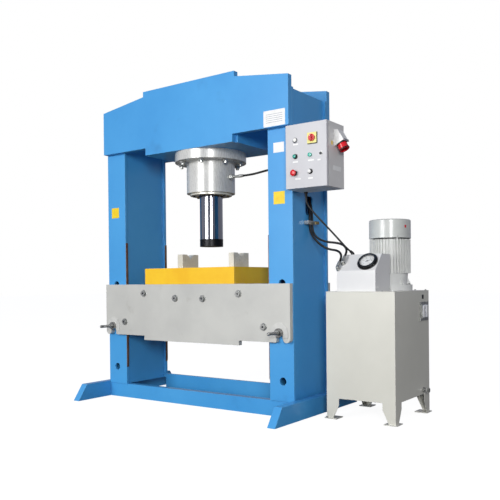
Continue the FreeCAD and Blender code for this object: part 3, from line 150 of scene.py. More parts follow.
class Graph:
    """Small helper that adds and joins the nodes of one material or of the world."""

    def __init__(self, owner: bpy.types.Material | bpy.types.World,
                 output: str = "ShaderNodeOutputMaterial") -> None:
        """Start an empty graph with its output node.

        Args:
            owner: the material or the world that holds the nodes.
            output: type name of the output node.
        """
        owner.use_nodes = True
        self.tree = owner.node_tree
        self.tree.nodes.clear()
        self.output = self.add(output)

    def add(self, kind: str, **values: object) -> bpy.types.Node:
        """Add a node and set its inputs or properties.

        Args:
            kind: the node's type name.
            **values: input names, with underscores for spaces, or property names.

        Returns:
            The new node.
        """
        node = self.tree.nodes.new(kind)
        for key, value in values.items():
            if hasattr(node, key):
                setattr(node, key, value)
            else:
                node.inputs[key.replace("_", " ")].default_value = value
        return node

    def join(self, source: bpy.types.NodeSocket, target: bpy.types.NodeSocket) -> None:
        """Join an output to an input."""
        self.tree.links.new(source, target)

    def noise(self, scale: float, detail: float, stretch: tuple[float, float, float] = (1, 1, 1)
              ) -> bpy.types.NodeSocket:
        """Cloudy pattern on the object's own coordinates.

        Args:
            scale: cells per metre.
            detail: number of finer layers.
            stretch: factors along X, Y and Z.

        Returns:
            The pattern's output, about 0.5 on average.
        """
        where = self.add("ShaderNodeTexCoord")
        turn = self.add("ShaderNodeMapping", Scale=stretch)
        cloud = self.add("ShaderNodeTexNoise", Scale=scale, Detail=detail, Roughness=0.6)
        self.join(where.outputs["Object"], turn.inputs["Vector"])
        self.join(turn.outputs["Vector"], cloud.inputs["Vector"])
        return cloud.outputs["Fac"]

    def spread(self, source: bpy.types.NodeSocket, low: float, high: float,
               to: tuple[float, float] = (0.0, 1.0)) -> bpy.types.NodeSocket:
        """Stretch a pattern's values from low..high onto another range.

        Args:
            source: the pattern.
            low: value that becomes the first of the new range.
            high: value that becomes the second.
            to: the new range.

        Returns:
            The new values' output.
        """
        ranged = self.add("ShaderNodeMapRange", From_Min=low, From_Max=high, To_Min=to[0],
                          To_Max=to[1])
        self.join(source, ranged.inputs["Value"])
        return ranged.outputs["Result"]

    def times(self, one: bpy.types.NodeSocket, other: bpy.types.NodeSocket
              ) -> bpy.types.NodeSocket:
        """Product of two patterns.

        Args:
            one: first pattern.
            other: second pattern.

        Returns:
            The product's output.
        """
        product = self.add("ShaderNodeMath", operation="MULTIPLY")
        self.join(one, product.inputs[0])
        self.join(other, product.inputs[1])
        return product.outputs[0]

    def blend(self, share: bpy.types.NodeSocket, first: object, second: object
              ) -> bpy.types.NodeSocket:
        """Colour between two colours by a pattern.

        Args:
            share: 0 gives the first colour and 1 the second.
            first: colour, or the output that gives it.
            second: colour, or the output that gives it.

        Returns:
            The blended colour's output.
        """
        mix = self.add("ShaderNodeMix", data_type="RGBA")
        self.join(share, mix.inputs["Factor"])
        for socket, value in zip((mix.inputs[6], mix.inputs[7]), (first, second)):
            if isinstance(value, bpy.types.NodeSocket):
                self.join(value, socket)
            else:
                socket.default_value = value
        return mix.outputs[2]


@dataclass(frozen=True)
class Finish:
    """Surface of one material: tone drift, fine grain, softened edges with painted highlight and
    wear, grime.

    The colour drifts between two tones on a cloud of tone_scale cells per metre, edges within
    edge_width millimetres turn towards the edge colour where a second cloud lets them, a lighter
    tone on most finishes that paints edge highlights as well as wear, and the grain gives the
    relief and the spread of the gloss.
    """

    name: str
    colour: tuple[float, float, float]
    deep: tuple[float, float, float]
    metallic: float = 0.0
    roughness: float = 0.4
    rough_spread: float = 0.12
    tone_scale: float = 2.5
    grain_scale: float = 350.0
    grain_stretch: tuple[float, float, float] = (1.0, 1.0, 1.0)
    relief: float = 0.08
    relief_depth: float = 0.0004
    # edge colour: on most finishes a lighter tone, a painted edge highlight as well as wear
    edge: tuple[float, float, float] | None = None
    edge_width: float = 2.0
    edge_share: float = 0.6
    stain: tuple[float, float, float] | None = None
    stain_scale: float = 6.0
    stain_stretch: tuple[float, float, float] = (1.0, 1.0, 1.0)
    stain_from: float = 0.55
    stain_share: float = 0.8
    coat: float = 0.0
    alpha: float = 1.0
    glow: float = 0.0
    made: ClassVar[dict[str, bpy.types.Material]] = {}

    def material(self) -> bpy.types.Material:
        """The finish's material, built once."""
        if self.name not in Finish.made:
            Finish.made[self.name] = self.build()
        return Finish.made[self.name]

    def build(self) -> bpy.types.Material:
        """Build the node material.

        Returns:
            The new material.
        """
        material = bpy.data.materials.new(self.name)
        graph = Graph(material)
        shader = graph.add("ShaderNodeBsdfPrincipled", Metallic=self.metallic,
                           Coat_Weight=self.coat, Coat_Roughness=0.08, Alpha=self.alpha)
        tone = graph.spread(graph.noise(self.tone_scale, 4.0), 0.35, 0.65)
        colour = graph.blend(tone, linear(self.colour), linear(self.deep))
        soft = graph.add("ShaderNodeBevel", samples=4, Radius=self.edge_width * MM)
        if self.stain is not None:
            cloud = graph.noise(self.stain_scale, 6.0, self.stain_stretch)
            share = graph.spread(cloud, self.stain_from, self.stain_from + 0.18,
                                 (0.0, self.stain_share))
            colour = graph.blend(share, colour, linear(self.stain))
        # painted highlight and wear: near edges the colour turns towards the edge colour, lighter
        # than the paint on most finishes
        if self.edge is not None:
            facing = graph.add("ShaderNodeNewGeometry")
            turned = graph.add("ShaderNodeVectorMath", operation="DOT_PRODUCT")
            graph.join(soft.outputs["Normal"], turned.inputs[0])
            graph.join(facing.outputs["True Normal"], turned.inputs[1])
            edge_highlight_and_wear_mask = graph.spread(turned.outputs["Value"], 0.985, 0.86)
            chips = graph.spread(graph.noise(45.0, 5.0), 0.4, 0.62, (0.15, self.edge_share))
            colour = graph.blend(graph.times(edge_highlight_and_wear_mask, chips), colour, linear(self.edge))
        graph.join(colour, shader.inputs["Base Color"])
        grain = graph.noise(self.grain_scale, 3.0, self.grain_stretch)
        half = self.rough_spread / 2
        graph.join(graph.spread(grain, 0.3, 0.7, (self.roughness - half, self.roughness + half)),
                   shader.inputs["Roughness"])
        bump = graph.add("ShaderNodeBump", Strength=self.relief, Distance=self.relief_depth)
        graph.join(grain, bump.inputs["Height"])
        graph.join(soft.outputs["Normal"], bump.inputs["Normal"])
        graph.join(bump.outputs["Normal"], shader.inputs["Normal"])
        if self.glow:
            graph.join(colour, shader.inputs["Emission Color"])
            shader.inputs["Emission Strength"].default_value = self.glow
        graph.join(shader.outputs["BSDF"], graph.output.inputs["Surface"])
        return material


# the pale edge colour paints bright highlights on the frame's edges as well as wear
FRAME_BLUE = Finish("frame_blue_paint", (0.29, 0.64, 0.88), (0.25, 0.60, 0.85), roughness=0.38,
                    tone_scale=1.4, grain_scale=260, relief=0.1, edge=(0.62, 0.86, 0.97),
                    edge_width=2.5, stain=(0.16, 0.40, 0.62), stain_scale=3.0, stain_from=0.62,
                    stain_share=0.35, coat=0.25)
WELD_BLUE = Finish("painted_weld", (0.25, 0.58, 0.82), (0.18, 0.47, 0.73), roughness=0.45,
                   tone_scale=30, grain_scale=700, relief=0.2, edge_width=1.0)
GUIDE_RUST = Finish("rusty_guide_steel", (0.56, 0.44, 0.36), (0.43, 0.30, 0.23), metallic=0.55,
                    roughness=0.5, tone_scale=9, grain_scale=500, grain_stretch=(1, 1, 0.15),
                    relief=0.25, edge=(0.78, 0.72, 0.66), stain=(0.36, 0.19, 0.10),
                    stain_scale=22, stain_stretch=(1, 1, 0.3), stain_from=0.5)
CYLINDER_GREY = Finish("cylinder_grey_paint", (0.85, 0.85, 0.83), (0.78, 0.78, 0.765),
                       metallic=0.15, roughness=0.28, tone_scale=3, grain_scale=120,
                       grain_stretch=(1, 1, 0.2), relief=0.05, edge=(0.93, 0.94, 0.95),
                       stain=(0.50, 0.50, 0.50), stain_scale=5, stain_stretch=(1, 1, 0.4),
                       stain_from=0.62, stain_share=0.3, coat=0.35)
ZINC = Finish("zinc_plate", (0.80, 0.80, 0.78), (0.66, 0.67, 0.66), metallic=0.85, roughness=0.32,
              tone_scale=35, grain_scale=900, relief=0.1, edge=(0.93, 0.93, 0.92), edge_width=0.8)
DARK_NUT = Finish("phosphated_nut", (0.20, 0.20, 0.22), (0.12, 0.12, 0.14), metallic=0.7,
                  roughness=0.4, tone_scale=40, grain_scale=900, edge=(0.5, 0.5, 0.52),
                  edge_width=1.2)
CHROME = Finish("ground_chrome", (0.66, 0.66, 0.68), (0.60, 0.61, 0.64), metallic=1.0,
                roughness=0.10, rough_spread=0.05, tone_scale=2, grain_scale=60,
                grain_stretch=(1, 1, 26), relief=0.015, edge_width=1.0, stain=(0.52, 0.46, 0.36),
                stain_scale=4, stain_stretch=(1, 1, 0.25), stain_from=0.66, stain_share=0.4)
NOSE_BLACK = Finish("blackened_steel", (0.09, 0.09, 0.10), (0.05, 0.05, 0.06), metallic=0.6,
                    roughness=0.38, tone_scale=20, grain_scale=400, grain_stretch=(1, 1, 9),
                    edge=(0.42, 0.42, 0.44), edge_width=1.5)
TABLE_GREY = Finish("table_grey_paint", (0.79, 0.79, 0.765), (0.74, 0.74, 0.72), roughness=0.4,
                    tone_scale=2.2, grain_scale=240, relief=0.12, edge=(0.95, 0.95, 0.93),
                    edge_width=3.0, stain=(0.52, 0.50, 0.45), stain_scale=5, stain_from=0.63,
                    stain_share=0.4, coat=0.2)
DOUBLER_GREY = Finish("doubler_grey_paint", (0.83, 0.83, 0.81), (0.76, 0.76, 0.74), roughness=0.4,
                      tone_scale=14, grain_scale=300, edge=(0.96, 0.96, 0.95), edge_width=1.5)
PLATE_YELLOW = Finish("press_plate_yellow", (0.985, 0.80, 0.13), (0.96, 0.74, 0.08),
                      roughness=0.36, tone_scale=4, grain_scale=280, relief=0.1,
                      edge=(1.0, 0.93, 0.55), edge_width=3.0, stain=(0.66, 0.46, 0.05),
                      stain_scale=9, stain_from=0.64, stain_share=0.5, coat=0.25)
MILLED = Finish("milled_steel", (0.93, 0.92, 0.87), (0.87, 0.86, 0.80), metallic=0.3,
                roughness=0.3, tone_scale=12, grain_scale=300, grain_stretch=(1, 14, 1),
                relief=0.12, edge=(0.9, 0.89, 0.87), edge_width=1.5, stain=(0.42, 0.33, 0.24),
                stain_scale=26, stain_from=0.6, stain_share=0.5)
PIN_STEEL = Finish("turned_pin_steel", (0.70, 0.70, 0.69), (0.55, 0.55, 0.54), metallic=0.85,
                   roughness=0.3, tone_scale=20, grain_scale=260, grain_stretch=(1, 12, 1),
                   relief=0.1, edge=(0.88, 0.88, 0.87), edge_width=1.0, stain=(0.36, 0.28, 0.2),
                   stain_scale=40, stain_from=0.58, stain_share=0.5)
BOX_GREY = Finish("box_powder_coat", (0.80, 0.80, 0.81), (0.77, 0.77, 0.78), roughness=0.46,
                  tone_scale=3, grain_scale=620, relief=0.3, relief_depth=0.0005,
                  edge=(0.95, 0.95, 0.97), edge_width=1.6)
# painted light: a lighter copy of the door's powder coat on the case, so its side faces read
# brighter than the same paint in shade
CASE_GREY_PAINTED_LIGHT = Finish("case_powder_coat_painted_light", (0.87, 0.865, 0.855), (0.83, 0.825, 0.815),
                       roughness=0.48, tone_scale=3, grain_scale=620, relief=0.3,
                       relief_depth=0.0005, edge=(0.93, 0.93, 0.91), edge_width=1.6)
TANK_GREY = Finish("tank_enamel", (0.85, 0.845, 0.80), (0.82, 0.815, 0.77), roughness=0.34,
                   tone_scale=1.8, grain_scale=300, relief=0.1, edge=(0.98, 0.98, 0.97),
                   edge_width=3.0, stain=(0.60, 0.58, 0.50), stain_scale=3.5, stain_from=0.64,
                   stain_share=0.3, coat=0.25)
CONSOLE_GREY = Finish("console_enamel", (0.885, 0.885, 0.88), (0.86, 0.86, 0.855), roughness=0.36,
                      tone_scale=3, grain_scale=380, relief=0.12, edge=(0.98, 0.98, 0.99),
                      edge_width=2.0, coat=0.2)
MOTOR_GREY = Finish("cast_motor_paint", (0.90, 0.905, 0.89), (0.86, 0.865, 0.85), roughness=0.36,
                    tone_scale=9, grain_scale=420, relief=0.25, edge=(0.95, 0.95, 0.94),
                    edge_width=1.2, stain=(0.50, 0.49, 0.44), stain_scale=14, stain_from=0.62,
                    stain_share=0.35, coat=0.15)
COWL_GREY = Finish("cowl_paint", (0.82, 0.83, 0.81), (0.78, 0.79, 0.77), roughness=0.28,
                   tone_scale=5, grain_scale=350, relief=0.08, edge=(0.95, 0.95, 0.94), coat=0.3)
RED = Finish("red_moulding", (0.86, 0.08, 0.14), (0.78, 0.05, 0.10), roughness=0.28,
             tone_scale=30, grain_scale=900, relief=0.05, edge=(0.92, 0.35, 0.35),
             edge_width=0.6, coat=0.3)
GREEN = Finish("teal_moulding", (0.07, 0.62, 0.55), (0.04, 0.52, 0.47), roughness=0.25,
               tone_scale=60, grain_scale=900, relief=0.04, edge=(0.5, 0.85, 0.8),
               edge_width=0.5, coat=0.4)
PALE_GREEN = Finish("pale_teal_lens", (0.28, 0.72, 0.64), (0.22, 0.66, 0.58), roughness=0.2,
                    tone_scale=60, grain_scale=500, relief=0.04, edge_width=0.5, coat=0.5)
WHITE = Finish("white_moulding", (0.93, 0.93, 0.92), (0.88, 0.88, 0.87), roughness=0.3,
               tone_scale=40, grain_scale=900, relief=0.04, edge_width=0.6, coat=0.2)
CREAM = Finish("switch_cream", (0.94, 0.91, 0.58), (0.90, 0.87, 0.50), roughness=0.4,
               tone_scale=30, grain_scale=900, relief=0.05, edge_width=0.6)
YELLOW = Finish("yellow_plate", (0.97, 0.84, 0.12), (0.93, 0.78, 0.08), roughness=0.4,
                tone_scale=30, grain_scale=900, relief=0.05, edge_width=0.6)
BLACK = Finish("black_moulding", (0.08, 0.08, 0.085), (0.05, 0.05, 0.055), roughness=0.42,
               tone_scale=40, grain_scale=900, relief=0.1, edge=(0.3, 0.3, 0.31),
               edge_width=0.6)
GREY_MOULD = Finish("grey_moulding", (0.56, 0.57, 0.60), (0.48, 0.49, 0.52), roughness=0.42,
                    tone_scale=40, grain_scale=900, relief=0.1, edge_width=0.6)
LENS = Finish("milky_lens", (0.95, 0.95, 0.93), (0.90, 0.90, 0.88), roughness=0.18,
              tone_scale=60, grain_scale=300, relief=0.05, edge_width=0.6, coat=0.5, glow=0.08)
LABEL = Finish("blank_label", (0.95, 0.95, 0.94), (0.91, 0.91, 0.90), roughness=0.5,
               tone_scale=25, grain_scale=900, relief=0.05, edge_width=0.4)
RULE = Finish("label_rule", (0.45, 0.50, 0.58), (0.38, 0.43, 0.50), roughness=0.5,
              tone_scale=25, grain_scale=900, relief=0.03, edge_width=0.2)
HOSE = Finish("hose_cover", (0.045, 0.045, 0.05), (0.03, 0.03, 0.035), roughness=0.5,
              tone_scale=12, grain_scale=1300, relief=0.3, relief_depth=0.0003, edge_width=0.5)
SHEATH = Finish("cable_sheath", (0.09, 0.09, 0.095), (0.06, 0.06, 0.065), roughness=0.45,
                tone_scale=14, grain_scale=1500, relief=0.25, relief_depth=0.0002,
                edge_width=0.5)
GAUGE_BLACK = Finish("gauge_enamel", (0.09, 0.09, 0.10), (0.06, 0.06, 0.065), roughness=0.22,
                     tone_scale=40, grain_scale=700, relief=0.04, edge=(0.4, 0.4, 0.42),
                     edge_width=0.8, coat=0.4)
GAUGE_GLASS = Finish("gauge_glass_clear", (0.95, 0.97, 0.98), (0.90, 0.94, 0.96), roughness=0.04,
                     rough_spread=0.02, tone_scale=8, grain_scale=100, relief=0.0,
                     edge_width=0.3, alpha=0.05)
SIGHT = Finish("sight_glass", (0.97, 0.98, 0.99), (0.94, 0.95, 0.98), roughness=0.12,
               tone_scale=30, grain_scale=200, relief=0.04, edge=(0.45, 0.58, 0.85),
               edge_width=2.5, edge_share=1.0, coat=0.6)
PUMP_IRON = Finish("cast_pump_iron", (0.32, 0.32, 0.32), (0.24, 0.24, 0.24), metallic=0.6,
                   roughness=0.55, tone_scale=15, grain_scale=500, relief=0.4)
BRASS = Finish("aged_brass", (0.64, 0.56, 0.34), (0.50, 0.44, 0.27), metallic=0.8, roughness=0.34,
               tone_scale=45, grain_scale=900, relief=0.1, edge=(0.85, 0.78, 0.55),
               edge_width=0.6)
RUBBER = Finish("wiper_rubber", (0.06, 0.06, 0.065), (0.04, 0.04, 0.045), roughness=0.5,
                tone_scale=30, grain_scale=900, relief=0.1, edge_width=0.5)


# ---------------------------------------------------------------- surfaces
@dataclass(frozen=True)
class Surface:
    """Grid of points over two parameters, closed along its columns, and its rows on request."""

    points: Vec
    wrap_rows: bool = False

    def faces(self) -> Vec:
        """Four corners of each cell: a point, its neighbours along both ways, and the far one.

        Returns:
            Four point numbers for each face.
        """
        rows, columns = self.points.shape[:2]
        r = np.arange(rows if self.wrap_rows else rows - 1)[:, None]
        c = np.arange(columns)[None, :]
        r1, c1 = (r + 1) % rows, (c + 1) % columns
        corners = (r * columns + c, r * columns + c1, r1 * columns + c1, r1 * columns + c)
        return np.stack(np.broadcast_arrays(*corners), -1).reshape(-1, 4)


def lathe(profile: Sequence[tuple[float, float]], foot: Vec, axis: Vec, segments: int = 48,
          ring: bool = False) -> Surface:
    """Turned shape: foot + axis * height + radius * (u cos t + v sin t), t once round.

    Args:
        profile: (radius, height) steps in millimetres; both ends at radius 0 close it.
        foot: point on the axis, in the press frame.
        axis: direction of the axis.
        segments: steps round the axis.
        ring: join the profile's last step to its first.

    Returns:
        The surface in the press frame.
    """
    steps = np.array(profile, float)
    u, v = square_to(axis)
    t = np.linspace(0, 2 * np.pi, segments, endpoint=False)
    round_it = np.cos(t)[:, None] * u + np.sin(t)[:, None] * v
    points = (np.asarray(foot, float) + steps[:, 1, None, None] * unit(axis)
              + steps[:, 0, None, None] * round_it)
    return Surface(points, wrap_rows=ring)


def rounded(width: float, height: float, radius: float, steps: int = 6) -> Vec:
    """Rectangle with round corners: four quarter circles about the inset corners.

    Args:
        width: size along the first coordinate.
        height: size along the second.
        radius: radius of the corners.
        steps: points on each quarter circle.

    Returns:
        The outline's points round its own middle.
    """
    t = np.linspace(0, np.pi / 2, steps)
    arcs = []
    for k, (sx, sz) in enumerate(((1, 1), (-1, 1), (-1, -1), (1, -1))):
        centre = np.array([sx * (width / 2 - radius), sz * (height / 2 - radius)])
        turn = t + k * np.pi / 2
        arcs.append(centre + radius * np.stack([np.cos(turn), np.sin(turn)], -1))
    return np.concatenate(arcs)


def regular(sides: int, across: float) -> Vec:
    """Regular polygon: corners at across / 2 / cos(pi / sides), half a step off the first axis.

    Args:
        sides: number of its sides.
        across: distance across its flats.

    Returns:
        The outline's points round its own middle.
    """
    t = (np.arange(sides) + 0.5) * 2 * np.pi / sides
    return across / 2 / math.cos(math.pi / sides) * np.stack([np.cos(t), np.sin(t)], -1)


def slab(shape: Vec, foot: Vec, u: Vec, v: Vec, thickness: float, bevel: float = 0.3) -> Surface:
    """Flat piece with a broken edge: the outline lifted along u x v and drawn in at the top.

    Args:
        shape: outline round its own origin, in millimetres.
        foot: the outline's origin, in the press frame.
        u: direction of the outline's first coordinate.
        v: direction of its second coordinate.
        thickness: height over the foot.
        bevel: size of the broken edge.

    Returns:
        The closed surface.
    """
    reach = np.linalg.norm(shape, axis=1, keepdims=True)
    drawn_in = shape * (1 - bevel / reach)
    rows = ((shape * 0, 0.0), (shape, 0.0), (shape, thickness - bevel), (drawn_in, thickness),
            (shape * 0, thickness))
    out = np.cross(u, v)
    points = [np.asarray(foot, float) + s[:, :1] * u + s[:, 1:] * v + h * out for s, h in rows]
    return Surface(np.array(points))


def bead(start: Vec, end: Vec, a: Vec, b: Vec, size: float, pitch: float = 12.0) -> Surface:
    """Weld bead in the corner between two plates.

    The radius at a place s along the bead and an angle p round it is
    size * (1 + 0.13 cos(2 pi s / pitch - 1.4 cos p)), which draws the overlapping scales,
    and it fades to nothing over the last pitch at both ends.

    Args:
        start: first end of the corner line.
        end: last end of the corner line.
        a: direction along the first plate, away from the corner.
        b: direction along the second plate, away from the corner.
        size: leg length of the bead.
        pitch: length of a scale.

    Returns:
        The closed surface.
    """
    start, end = np.asarray(start, float), np.asarray(end, float)
    length = np.linalg.norm(end - start)
    rows = max(8, int(length / pitch * 4))
    s = np.linspace(0, length, rows)[:, None]
    p = np.linspace(0, 2 * np.pi, 9, endpoint=False)[None, :]
    fade = np.sqrt(np.clip(np.minimum(s, length - s) / pitch, 0, 1))
    r = size * fade * (1 + 0.13 * np.cos(2 * np.pi * s / pitch - 1.4 * np.cos(p - np.pi / 4)))
    way = (end - start) / length
    points = (start + s[..., None] * way + (r * np.cos(p))[..., None] * a
              + (r * np.sin(p))[..., None] * b)
    return Surface(points)


def ring_bead(centre: Vec, axis: Vec, radius: float, size: float, scales: int) -> Surface:
    """Weld bead round a pipe: a ring of the given radius with the same scales as bead().

    Args:
        centre: middle of the ring.
        axis: its axis.
        radius: distance from the axis to the corner.
        size: leg length of the bead.
        scales: number of scales round it.

    Returns:
        The closed surface.
    """
    u, v = square_to(axis)
    t = np.linspace(0, 2 * np.pi, scales * 4, endpoint=False)[:, None]
    p = np.linspace(0, 2 * np.pi, 9, endpoint=False)[None, :]
    r = size * (1 + 0.13 * np.cos(scales * t - 1.4 * np.cos(p)))
    out = np.cos(t)[..., None] * u + np.sin(t)[..., None] * v
    points = (np.asarray(centre, float) + (radius + r * np.cos(p))[..., None] * out
              + (r * np.sin(p))[..., None] * unit(axis))
    return Surface(points, wrap_rows=True)


def threaded(foot: Vec, axis: Vec, radius: float, length: float, pitch: float, depth: float
             ) -> Surface:
    """Threaded sleeve: the radius rises and falls by depth along a helix of the given pitch.

    Args:
        foot: middle of the first end.
        axis: direction of the sleeve.
        radius: its mean radius.
        length: its length.
        pitch: advance of the thread per turn.
        depth: half the thread's height.

    Returns:
        The closed surface.
    """
    u, v = square_to(axis)
    t = np.linspace(0, 2 * np.pi, 32, endpoint=False)[None, :]
    h = np.linspace(0, length, int(length / pitch * 6) + 1)[:, None]
    wave = np.abs(2 * np.mod(h / pitch - t / (2 * np.pi), 1.0) - 1) * 2 - 1
    r = radius + depth * wave
    r = np.concatenate([r[:1] * 0, r, r[-1:] * 0])
    h = np.concatenate([h[:1], h, h[-1:]])
    points = (np.asarray(foot, float) + h[..., None] * unit(axis)
              + (r * np.cos(t))[..., None] * u + (r * np.sin(t))[..., None] * v)
    return Surface(points)


def dome(foot: Vec, axis: Vec, radius: float, height: float, segments: int = 40) -> Surface:
    """Shallow cap: height * sqrt(1 - (r / radius)^2) over a flat base set into the face below.

    Args:
        foot: middle of its base, in the press frame.
        axis: direction of its top.
        radius: its radius.
        height: its height.
        segments: steps round the axis.

    Returns:
        The closed surface.
    """
    share = np.linspace(1, 0, 9)
    steps = [(0.0, -SET_IN), (radius, -SET_IN)]
    steps += [(float(radius * s), float(height * math.sqrt(1 - s * s))) for s in share]
    return lathe(steps, foot, axis, segments)


def washer(foot: Vec, axis: Vec, inner: float, outer: float, thickness: float,
           segments: int = 40) -> Surface:
    """Flat ring with a broken outer edge, closed on its inner side.

    Args:
        foot: middle of its seat, in the press frame.
        axis: direction away from the seat.
        inner: radius of its hole.
        outer: its outer radius.
        thickness: its thickness.
        segments: steps round the axis.

    Returns:
        The closed surface.
    """
    edge = min(0.5, thickness / 3)
    profile = [(inner, 0), (outer, 0), (outer, thickness - edge), (outer - edge, thickness),
               (inner, thickness)]
    return lathe(profile, foot, axis, segments, ring=True)


def hex_bolt(foot: Vec, axis: Vec, across: float, height: float) -> list[Surface]:
    """Washer and chamfered hexagon head.

    Args:
        foot: middle of the seat.
        axis: direction away from the seat.
        across: distance across the head's flats.
        height: the head's height.

    Returns:
        The two surfaces.
    """
    u, v = square_to(axis)
    under = 0.12 * across
    ring = washer(foot, axis, 0.2 * across, 0.85 * across, under, 32)
    seat = np.asarray(foot, float) + under * unit(axis)
    return [ring, slab(regular(6, across), seat, u, v, height, 0.1 * across)]


# ---------------------------------------------------------------- pieces
def make_piece(name: str, surfaces: list[Surface], finish: Finish, body: Body) -> bpy.types.Object:
    """Put surfaces into one mesh object that rides on a body.

    Args:
        name: the piece's name.
        surfaces: closed surfaces in the press frame.
        finish: its finish.
        body: the body that carries it.

    Returns:
        The new object, at the origin.
    """
    points, faces, base = [], [], 0
    for surface in surfaces:
        points.append(surface.points.reshape(-1, 3))
        faces.append(surface.faces() + base)
        base += len(points[-1])
    mesh = bpy.data.meshes.new(name)
    placed = (np.concatenate(points) - ORIGIN) * MM
    mesh.from_pydata(placed.tolist(), [], np.concatenate(faces).tolist())
    return finish_piece(name, mesh, finish, body)


def finish_piece(name: str, mesh: bpy.types.Mesh, finish: Finish, body: Body) -> bpy.types.Object:
    """Weld a mesh's doubles, turn its faces outwards and make it a riding piece.

    Args:
        name: the piece's name.
        mesh: its mesh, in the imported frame.
        finish: its finish.
        body: the body that carries it.

    Returns:
        The new object.
    """
    work = bmesh.new()
    work.from_mesh(mesh)
    bmesh.ops.remove_doubles(work, verts=work.verts, dist=DOUBLES_APART)
    bmesh.ops.recalc_face_normals(work, faces=work.faces)
    work.to_mesh(mesh)
    work.free()
    mesh.polygons.foreach_set("use_smooth", np.ones(len(mesh.polygons), bool))
    mesh.set_sharp_from_angle(angle=SHARP_ANGLE)
    mesh.materials.append(finish.material())
    piece = bpy.data.objects.new(name, mesh)
    bpy.context.scene.collection.objects.link(piece)
    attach(piece, body.value)
    LOG.info("piece %s: %d faces on %s", name, len(mesh.polygons), body.value)
    return piece


def dress(nodes: dict[str, bpy.types.Object], finishes: dict[str, Finish]) -> None:
    """Give CAD nodes their finishes in the material slots they already have.

    Args:
        nodes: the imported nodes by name.
        finishes: the finish of each node.
    """
    for name, finish in finishes.items():
        node = nodes[name]
        if not node.material_slots:
            node.data.materials.append(None)
        for place in node.material_slots:
            place.material = finish.material()
        LOG.info("node %s: %s", name, finish.name)


class Face(Enum):
    """Faces that carry flat plates."""

    FRONT = "front"
    SIDE = "side"

    def directions(self) -> tuple[Vec, Vec]:
        """Directions of a plate's width and height."""
        return (RIGHT if self is Face.FRONT else BACK), UP


@dataclass(frozen=True)
class BlankPlate:
    """Plain plate on a flat face, with an optional rivet in each corner."""

    name: str
    centre: tuple[float, float, float]
    size: tuple[float, float]
    finish: Finish
    slot: str
    body: Body = Body.PRESS
    face: Face = Face.FRONT
    thickness: float = 0.8
    corner: float = 2.0
    rivets: bool = False
    rivet_inset: float = 5.0

    def build(self) -> None:
        """Make the plate, and its rivets where it has them."""
        u, v = self.face.directions()
        width, height = self.size
        centre = np.array(self.centre)
        make_piece(self.name, [slab(rounded(width, height, self.corner), centre, u, v,
                                    self.thickness)], self.finish, self.body)
        if self.rivets:
            out = np.cross(u, v)
            half_u, half_v = width / 2 - self.rivet_inset, height / 2 - self.rivet_inset
            heads = [dome(centre + sx * half_u * u + sz * half_v * v + self.thickness * out,
                          out, 2.2, 1.2, 16)
                     for sx in (-1, 1) for sz in (-1, 1)]
            make_piece(self.name + "_rivets", heads, ZINC, self.body)


